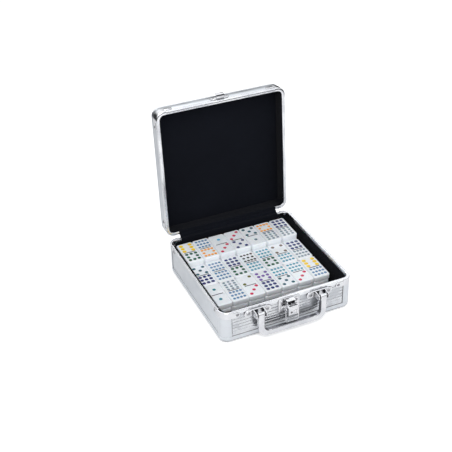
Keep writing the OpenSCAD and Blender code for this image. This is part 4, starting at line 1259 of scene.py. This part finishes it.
for name, s in (("left", -1), ("right", 1)):
    makePiece(f"handle_bracket_{name}_sheet", bracketShells(s * handle["span"] / 2), "chrome", "base",
              f"handle_bracket_{name}")
sites = [s * handle["span"] / 2 + k * bracket["pitch"] / 2 for s in (-1, 1) for k in (-1, 1)]
makePiece("handle_rivets", [onFront(rivetShell(), x, bracket["z"], bracket["plate"] + 0.15) for x in sites],
          "rivet_steel", "base", "handle_bracket_rivets")
handlePins = [pinShell(s * handle["span"] / 2, handle["pinOut"], handle["pinZ"], handle["pinRadius"],
                       handle["pinHalf"]) for s in (-1, 1)]
makePiece("handle_pins_domed", handlePins, "rivet_steel", "base", "handle_pins")
print("handle made")

latch = {
    "plateWidth": 32.0,
    "plateLow": 26.0,
    "plateTop": 49.0,
    "plate": 1.1,
    "padX": 11.2,
    "cheekIn": 4.9,
    "cheek": 1.1,
    "hoodHalf": 6.4,
    "hoodOut": 8.5,
    "hoodTop": 48.2,
    "pinOut": 10.5,
    "pinZ": 42.0,
    "pinRadius": 1.2,
    "pinHalf": 7.2,
    "leverHalf": 7.5,
    "leverFront": 15.0,
    "leverLow": 28.5,
    "leverSheet": 1.1,
    "loopZ": 37.5,
    "loopHalf": 9.6,
    "loopWire": 0.8,
    "loopBend": 2.0,
    "loopLow": 15.7,
    "loopSlot": 5.2,
    "lockX": 3.2,
    "lockZ": 33.6,
    "lockRadius": 2.9,
    "slotHalf": 0.7,
    "lockSharp": 35,
    "holeRadius": 1.32,
    "rivetX": 10.5,
    "rivetZ": (30.0, 42.0),
}


# a plate with two raised pads, two cheeks for the lever's pin, a hood over it, and the lock's keeper
def latchPlateShells():
    w, low, top, t = latch["plateWidth"], latch["plateLow"], latch["plateTop"], latch["plate"]
    mid, half = (low + top) / 2, (top - low) / 2
    shells = [onFront(plate(roundedBox(-w / 2, -half, w / 2, half, 2.5, 7), t, 0.35), 0, mid)]
    for s in (-1, 1):
        pad = roundedBox(-3.6, -9.6, 3.2, 9.6, 1.6, 5) * [s, 1]
        shells.append(onFront(plate(pad, 0.4, 0.3), s * latch["padX"], mid - 0.6, t - 0.12))
    out, hoodTop, hoodHalf = latch["hoodOut"], latch["hoodTop"], latch["hoodHalf"]
    hood = roundCorners([(0, hoodTop - 1), (0, hoodTop), (out - 0.2, hoodTop), (out, hoodTop - 1.0)],
                        [0.1, 0.2, 0.5, 0.4])
    shells.append(acrossFront(plate(hood, 2 * hoodHalf, 0.35), -hoodHalf))
    y, z = latch["pinOut"], latch["pinZ"]
    cheek = roundCorners([(0.3, 36.5), (0.3, hoodTop - 0.6), (out - 0.9, hoodTop - 0.6), (out - 0.9, z + 1.9),
                          (y + 2.3, z + 2.3), (y + 2.3, z - 2.3), (y - 1.5, 37)],
                         [0.3, 0.3, 0.5, 0.6, 2.2, 1.6, 1.0], 6)
    shells += cheekPair(cheek, 0, latch["cheekIn"], latch["cheek"], 0.28)
    web = latch["lockX"] - 5.7
    keeper = roundCorners([(web, 0.6), (web, 8.2), (web + 2.7, 8.2), (web + 2.7, 7.2), (web + 0.6, 7.2),
                           (web + 0.6, 0.6)], [0.1, 0.6, 0.3, 0.3, 0.3, 0.1], 4)
    place = (0, -case["halfDepth"], latch["lockZ"] - 2.1)
    shells.append(moved(plate(keeper, 4.2, 0.2), place, (1, 0, 0), (0, -1, 0), (0, 0, 1)))
    return shells


# the lever: a cover folded from one sheet, two flanges, and eyelets round the lock and the blind hole
def leverShells():
    f, low, z, h, t = [latch[key] for key in ("leverFront", "leverLow", "pinZ", "leverHalf", "leverSheet")]
    cover = roundCorners([(f - 1.6, z + 0.9), (f, z + 0.3), (f, low), (f - 6.5, low), (f - 6.5, low + 1.2),
                          (f - 1.6, low + 1.2)], [0.5, 1.1, 1.2, 0.45, 0.45, 0.4], 6)
    shells = [acrossFront(plate(cover, 2 * h, 0.5), -h)]
    y = latch["pinOut"]
    flange = roundCorners([(y - 2.4, low + 3.2), (y - 2.4, z + 2.3), (y + 1.6, z + 2.3), (f - 0.4, z + 0.4),
                           (f - 0.4, low + 0.4), (y - 0.5, low + 0.2)], [1.0, 2.3, 1.2, 0.8, 0.8, 1.6], 6)
    shells += cheekPair(flange, 0, h - t + 0.02, t, 0.3)
    r = latch["lockRadius"]
    ring = [(r + 0.08, -0.3), (r + 0.08, 0.22), (r + 0.2, 0.32), (r + 0.75, 0.28), (r + 0.95, 0.1),
            (r + 0.98, -0.3)]
    eyelet = [(1.3, -0.3), (1.3, 0.22), (1.4, 0.34), (1.7, 0.34), (1.9, 0.2), (1.95, -0.3)]
    shells.append(onFront(turned(ring, 36, True), latch["lockX"], latch["lockZ"], f))
    shells.append(onFront(turned(eyelet, 28, True), -latch["lockX"], latch["lockZ"], f))
    return shells


# a round wire along a line in the wall's plane: a circle of radius r about each point, across the line
def wireShell(line, out, r, steps=12):
    p = np.asarray(line, float)
    across = leftOf(norm(np.gradient(p, axis=0)))
    a = np.linspace(0, 2 * math.pi, steps, endpoint=False)
    xz = p[:, None] + across[:, None] * (r * np.cos(a))[None, :, None]
    y = np.broadcast_to(-case["halfDepth"] - out - r * np.sin(a), xz.shape[:2])
    return loft(np.stack([xz[..., 0], y, xz[..., 1]], 2))


# the loop: a bent wire with a cross bar, and an eye at the top of each leg
def loopShells():
    h, low, top, r, out = [latch[key] for key in ("loopHalf", "loopLow", "loopZ", "loopWire", "pinOut")]
    bend, slot = latch["loopBend"], low + latch["loopSlot"]
    side = np.concatenate([np.linspace((h, top - 1.6), (h, low + bend + 0.4), 8),
                           arcPoints(h - bend, low + bend, bend, 0, -90, 9),
                           np.linspace((h - bend - 0.5, low), (0, low), 6)])
    shells = [wireShell(np.concatenate([side, side[-2::-1] * [-1, 1]]), out, r)]
    shells.append(wireShell(np.linspace((-h, slot), (h, slot), 12), out, r * 0.94))
    eye = turned(roundedBox(0.98, -0.78, 2.0, 0.78, 0.28, 4), 28, True)
    shells += [alongX(eye, s * h, -case["halfDepth"] - out, top) for s in (-1, 1)]
    return shells


# painted shadow for a hollow: a shallow near-black cup at its floor stands in for the shade
def shadowCup(radius):
    return turned([(0.05, 0.04), (radius * 0.9, 0.05), (radius, 0.12), (radius, -0.2), (0.05, -0.25)], 24)


# a loop pin, on the right (side 1) or on the left (-1): a short shaft with a button head
def buttonPin(side):
    start, end = latch["leverHalf"] - latch["leverSheet"], latch["leverHalf"] + 3.6
    profile = [(0.05, start), (0.9, start), (0.9, end - 0.5), (1.4, end - 0.5), (1.42, end - 0.3),
               (1.2, end - 0.08), (0.7, end), (0.05, end + 0.02)]
    return alongX(turned(profile, 20), 0, -case["halfDepth"] - latch["pinOut"], latch["loopZ"], side)


# the key cylinder: a turned barrel, and for its slotted face two half plates beside the slot and a
# small block at each of the slot's ends
def lockShells():
    r, f, half = latch["lockRadius"] - 0.02, latch["leverFront"], latch["slotHalf"]
    barrel = turned([(0.05, -5.0), (r, -5.0), (r, -0.9), (0.05, -0.9)], 36)
    a = math.degrees(math.asin(half / r))
    halves = [plate(arcPoints(0, 0, r, s + a, s + 180 - a, 22), 1.28, 0.22) for s in (-90, 90)]
    end = roundedBox(-half - 0.02, 2.0, half + 0.02, 2.78, 0.08, 3)
    halves += [plate(end * [1, s], 1.2, 0.08) for s in (-1, 1)]
    shells = [onFront(barrel, latch["lockX"], latch["lockZ"], f)]
    return shells + [onFront(s, latch["lockX"], latch["lockZ"], f - 0.9) for s in halves]


makePiece("latch_plate_sheet", latchPlateShells(), "chrome", "base", "latch_plate")
latchRivets = [onFront(rivetShell(), s * latch["rivetX"], z, latch["plate"] + 0.2)
               for s in (-1, 1) for z in latch["rivetZ"]]
makePiece("latch_plate_rivets", latchRivets, "rivet_steel", "base", "latch_rivets")
latchPin = pinShell(0, latch["pinOut"], latch["pinZ"], latch["pinRadius"], latch["pinHalf"], head=0.12)
makePiece("latch_pin_domed", [latchPin], "rivet_steel", "base", "latch_pin")
makePiece("latch_lever_cover", leverShells(), "chrome", "latch_lever", "latch_lever")
# the hole in the lever is an eyelet round a near-black cup: painted shadow
holeShadow = onFront(shadowCup(latch["holeRadius"]), -latch["lockX"], latch["lockZ"], latch["leverFront"])
makePiece("latch_lever_hole_shadow", [holeShadow], "rivet_steel", "latch_lever", mats=[paintedHoleShadow])
makePiece("latch_loop_wire", loopShells(), "chrome", "latch_loop", "latch_loop")
makePiece("loop_button_pins", [buttonPin(s) for s in (-1, 1)], "rivet_steel", "latch_lever",
          "loop_pivot_pins")
makePiece("lock_cylinder_face", lockShells(), "rim_metal", "lock", "lock_cylinder", latch["lockSharp"],
          [chromeMetal])
# a near-black plate at the bottom of the key slot: painted shadow
slotShadow = roundedBox(0.01 - latch["slotHalf"], -1.98, latch["slotHalf"] - 0.01, 1.98, 0.1, 3)
slotShadow = onFront(plate(slotShadow, 0.12, 0.05), latch["lockX"], latch["lockZ"], latch["leverFront"] - 0.86)
makePiece("lock_slot_shadow", [slotShadow], "rivet_steel", "lock", mats=[paintedHoleShadow])
print("latch made")

catch = {
    "width": 29.0,
    "low": 55.2,
    "top": 67.0,
    "plate": 1.0,
    "washerRadius": 3.3,
    "hookHalf": 6.0,
    "hookOut": 8.0,
    "hookRise": 5.2,
    "floorTop": 57.32,
    "lipIn": 6.4,
    "rivetX": 11.0,
}
catchMid = (catch["low"] + catch["top"]) / 2


# the catch: a plate with round ends and washers, and a hook folded up in front of it
def catchShells():
    r, thick = (catch["top"] - catch["low"]) / 2, catch["plate"]
    x = catch["width"] / 2 - r
    outline = np.concatenate([arcPoints(x, 0, r, -90, 90, 17), arcPoints(-x, 0, r, 90, 270, 17)])
    shells = [onFront(plate(outline, thick, 0.3), 0, catchMid)]
    shells += [onFront(washer(catch["washerRadius"]), s * catch["rivetX"], catchMid, thick - 0.05)
               for s in (-1, 1)]
    low, out, lip, floorTop = catch["low"], catch["hookOut"], catch["lipIn"], catch["floorTop"]
    rise = low + catch["hookRise"]
    hook = roundCorners([(0.3, low), (out, low), (out, rise), (lip, rise), (lip, floorTop), (0.3, floorTop)],
                        [0.2, 1.5, 0.7, 0.6, 0.5, 0.2], 6)
    shells.append(acrossFront(plate(hook, 2 * catch["hookHalf"], 0.4), -catch["hookHalf"]))
    return [openLid(s) for s in shells]


makePiece("lid_catch_plate", catchShells(), "chrome", "lid", "lid_catch")
catchRivets = [openLid(onFront(rivetShell(), s * catch["rivetX"], catchMid, catch["plate"] + 0.15))
               for s in (-1, 1)]
makePiece("lid_catch_plate_rivets", catchRivets, "rivet_steel", "lid", "lid_catch_rivets")

hinge = {
    "places": (-52.0, 52.0),
    "length": 36.0,
    "knuckle": 2.4,
    "bore": 1.25,
    "pin": 1.2,
    "leaf": 1.2,
    "leafTop": 2.7,
    "leafHeight": 13.0,
    "rivetX": 11.0,
    "rivetZ": 10.5,
    "lug": 3.9,
}


# one leaf: a plate, and for each of its fifths a strip curled round the pin with a tongue down to the
# plate; flipped over the pin's height for the lid
def hingeLeaf(x, fifths, flip):
    step, half = hinge["length"] / 5, hinge["length"] / 2
    y, z, top = case["hingeY"], case["hingeZ"], hinge["leafTop"]
    outline = roundedBox(-half, -hinge["leafHeight"], half, 0, [2.2, 2.2, 0.4, 0.4], 6)
    shells = [onBack(plate(outline, hinge["leaf"], 0.3), x, z - top)]
    back, r, t = case["halfDepth"] - y, hinge["knuckle"], hinge["knuckle"] - hinge["bore"]
    strip = roundCorners([(0.1, 0), (step - 0.1, 0), (step - 0.1, -t), (0.1, -t)], [0.3, 0.3, 0.15, 0.15], 4)
    tongue = roundCorners([(back + 0.02, -top - 0.6), (back + 0.02, 0.4), (back + 1.15, 0.2),
                           (back + 1.15, -top - 0.6)], [0.1, 0.5, 0.4, 0.1], 4)
    for k in fifths:
        start = x - half + k * step
        shells.append(curled(strip + [0, r], start, y, z, np.linspace(-100, 195, 26)))
        shells.append(alongX(plate(tongue, step - 0.2, 0.2), start + 0.1, y, z))
    if flip:
        shells = [(p * [1, 1, -1] + [0, 0, 2 * z], f) for p, f in shells]
    return shells


# lugs on the base leaf that hold the lid open: their tops lie in the plane of the opened lid's leaf
def stopLugs(x):
    y, top, r = case["hingeY"] - case["halfDepth"] - hinge["leaf"], hinge["leafTop"], hinge["knuckle"]
    a = math.radians(case["openAngle"])
    near, far = r + 0.5, r + 3.2
    lift = [(y + v * math.cos(a)) / math.sin(a) - 0.14 for v in (near, far)]
    outline = roundCorners([(-y - 0.1, -top - 10), (-y - 0.1, -top - 1), (near, -r - 0.4), (near, lift[0]),
                            (far, lift[1]), (far, -r - 2)], [0.4, 0.4, 0.4, 0.25, 0.6, 2.0], 5)
    wide = hinge["lug"]
    return [alongX(plate(outline, wide, 0.3), x + s * (hinge["length"] / 2 - 2) - wide / 2, case["hingeY"],
                   case["hingeZ"]) for s in (-1, 1)]


# a hinge's pin, its profile mirrored at the middle
def hingePin(x):
    h = hinge["length"] / 2
    end = [(0.05, -h), (0.8, -h + 0.02), (1.15, -h + 0.25), (hinge["pin"], -h + 0.5)]
    return alongX(turned(end + [(r, -z) for r, z in end[::-1]], 20), x, case["hingeY"], case["hingeZ"])


baseLeaves = [s for x in hinge["places"] for s in hingeLeaf(x, (0, 2, 4), False) + stopLugs(x)]
lidLeaves = [openLid(s) for x in hinge["places"] for s in hingeLeaf(x, (1, 3), True)]
makePiece("hinge_base_leaves", baseLeaves, "rim_metal", "base", "hinge_leaves_base")
makePiece("hinge_lid_leaves", lidLeaves, "rim_metal", "lid", "hinge_leaves_lid")
makePiece("hinge_pin_rods", [hingePin(x) for x in hinge["places"]], "rivet_steel", "base", "hinge_pins")
leafRivets = [x + s * hinge["rivetX"] for x in hinge["places"] for s in (-1, 1)]
for body, place, drop in (("base", asBase, -hinge["rivetZ"]), ("lid", openLid, hinge["rivetZ"])):
    rivets = [place(onBack(rivetShell(), x, case["hingeZ"] + drop, hinge["leaf"])) for x in leafRivets]
    makePiece(f"hinge_{body}_rivets", rivets, "rivet_steel", body, f"hinge_rivets_{body}")
print("catch and hinges made")

# the CAD nodes that no piece replaces take their finish too
slotOf = {s["node"]: s["material_slot"] for s in frame["record"]["subparts"]}
for name, node in frame["nodes"].items():
    if name in slotOf:
        node.data.materials.clear()
        node.data.materials.append(finishes[slotOf[name]][0])
print("finishes given")

studio = {
    "worldLight": 0.715,
    "mirrorLight": 1.34,
    "paperHalf": 9,
    "paper": (0.96, 0.96, 0.965),
    "dusk": (0.03, 0.03, 0.035),
    "paperEnds": (0.6, 0.95),  # where the paper turns to dusk in reflections, from the middle outwards
    "dimBehind": 0.2,
    "paperGlow": 0.32,
    "litTint": (0.97, 0.985, 1),
    # what reflections see of the room: (height of the ray, grey)
    "room": ((0.0, 0.025), (0.09, 0.025), (0.20, 0.035), (0.27, 0.17), (0.35, 0.5), (0.43, 0.84),
             (0.55, 1.0), (0.9, 1.0), (1.0, 0.6)),
}

half = studio["paperHalf"]
floorData = bpy.data.meshes.new("floor")
floorData.from_pydata([(-half, -half, 0), (half, -half, 0), (half, half, 0), (-half, half, 0)], [],
                      [(0, 1, 2, 3)])
floor = bpy.data.objects.new("floor", floorData)
bpy.context.scene.collection.objects.link(floor)
floorMaterial, tree, bsdf, vector = newMaterial("FloorPaper")
# in reflections the paper ends some way off and the dark studio floor begins
reach = vectorOf(tree, (-600, 0), "LENGTH", {0: vector}, "Value")
beyond = mapped(tree, (-400, 0), reach, *studio["paperEnds"])
# and behind the case the paper is a little dimmer
depth = addNode(tree, "ShaderNodeSeparateXYZ", (-600, -200), {0: vector}).outputs["Y"]
behind = mapped(tree, (-400, -250), depth, -0.12, 0.05, 0.0, studio["dimBehind"])
darker = reckoned(tree, (-300, -100), "MAXIMUM", beyond, behind)
seen = addNode(tree, "ShaderNodeLightPath", (-600, 300)).outputs
dusk = reckoned(tree, (-200, 0), "MULTIPLY", darker, seen["Is Glossy Ray"])
setInputs(tree, bsdf, {
    "Base Color": mixed(tree, (60, 0), dusk, studio["paper"], studio["dusk"]),
    "Roughness": 0.85,
    "Specular IOR Level": 0.1})
# the camera sees the paper a little brighter than it is lit, so that it runs into the white background
lift = reckoned(tree, (-100, 200), "MULTIPLY", seen["Is Camera Ray"], studio["paperGlow"])
glow = addNode(tree, "ShaderNodeEmission", (100, 250), {"Strength": lift})
both = addNode(tree, "ShaderNodeAddShader", (480, 200), {0: bsdf.outputs[0], 1: glow.outputs[0]})
surface = next(n for n in tree.nodes if n.type == "OUTPUT_MATERIAL").inputs["Surface"]
tree.links.new(both.outputs[0], surface)
floorData.materials.append(floorMaterial)

world = bpy.data.worlds.new("Studio")
bpy.context.scene.world = world
world.use_nodes = True
tree = world.node_tree
tree.nodes.clear()
path = addNode(tree, "ShaderNodeLightPath", (-200, 350)).outputs
# reflections see a studio: dark near the horizon, a grey wall, and a bright ceiling, by the ray's height
ray = addNode(tree, "ShaderNodeNewGeometry", (-900, -250)).outputs["Incoming"]
height = addNode(tree, "ShaderNodeSeparateXYZ", (-700, -250), {0: ray}).outputs["Z"]
climb = mapped(tree, (-520, -250), height, 0.1, -1.0)
room = addNode(tree, "ShaderNodeValToRGB", (-300, -250), {"Fac": climb})
for k, (at, grey) in enumerate(studio["room"]):
    stop = room.color_ramp.elements[k] if k < 2 else room.color_ramp.elements.new(at)
    stop.position = at
    stop.color = (*(grey * tint for tint in studio["litTint"]), 1)
mirror = addNode(tree, "ShaderNodeBackground", (50, -250), {
    "Color": room.outputs["Color"], "Strength": studio["mirrorLight"]})
lit = addNode(tree, "ShaderNodeBackground", (50, -80), {
    "Color": studio["litTint"], "Strength": studio["worldLight"]})
white = addNode(tree, "ShaderNodeBackground", (250, 120), {"Color": (1, 1, 1)})
kind = addNode(tree, "ShaderNodeMixShader", (300, -100), {
    0: path["Is Glossy Ray"], 1: lit.outputs[0], 2: mirror.outputs[0]})
shown = addNode(tree, "ShaderNodeMixShader", (500, 0), {
    0: path["Is Camera Ray"], 1: kind.outputs[0], 2: white.outputs[0]})
addNode(tree, "ShaderNodeOutputWorld", (700, 0), {"Surface": shown.outputs[0]})


# a rectangular lamp at a place, its -Z turned to its aim
def areaLight(name, place, aim, size, power, shiny):
    data = bpy.data.lights.new(name, "AREA")
    data.shape = "RECTANGLE"
    data.size, data.size_y = size
    data.energy = power
    light = bpy.data.objects.new(name, data)
    light.location = place
    light.rotation_euler = (Vector(aim) - Vector(place)).to_track_quat("-Z", "Y").to_euler()
    light.visible_glossy = shiny
    bpy.context.scene.collection.objects.link(light)


lamps = {
    "keyLight": {"place": (-0.38, -0.75, 1.1), "aim": (0, 0, 0.05), "size": (0.9, 0.7), "power": 6.6,
                 "shiny": True},
    "fillLight": {"place": (0.5, -1.0, 0.5), "aim": (0, 0, 0.05), "size": (0.6, 0.6), "power": 2.8,
                  "shiny": False},
    "rimLight": {"place": (-0.2, 0.9, 0.9), "aim": (0, 0, 0.1), "size": (0.8, 0.4), "power": 1.8,
                 "shiny": True},
}
for name, lamp in lamps.items():
    areaLight(name, **lamp)

view = {
    "place": (-454.92, -958.90, 794.80),
    "azimuth": 23.041,
    "elevation": 33.005,
    "roll": -1.592,
    "lens": 72.445,
    "sensor": 36,
    "farEnd": 20,
}
az, el, roll = [math.radians(view[k]) for k in ("azimuth", "elevation", "roll")]
ahead = Vector((math.sin(az) * math.cos(el), math.cos(az) * math.cos(el), -math.sin(el)))
side = ahead.cross(Vector((0, 0, 1))).normalized()
upward = side.cross(ahead)
right = side * math.cos(roll) + upward * math.sin(roll)
up = upward * math.cos(roll) - side * math.sin(roll)
place = Vector(view["place"]) * 0.001
cameraData = bpy.data.cameras.new("camera")
cameraData.lens = view["lens"]
cameraData.sensor_width = view["sensor"]
cameraData.clip_end = view["farEnd"]
camera = bpy.data.objects.new("camera", cameraData)
camera.matrix_world = Matrix([(*axes, at) for *axes, at in zip(right, up, -ahead, place)] + [(0, 0, 0, 1)])
bpy.context.scene.collection.objects.link(camera)
bpy.context.scene.camera = camera
bpy.context.scene.view_settings.view_transform = "Standard"
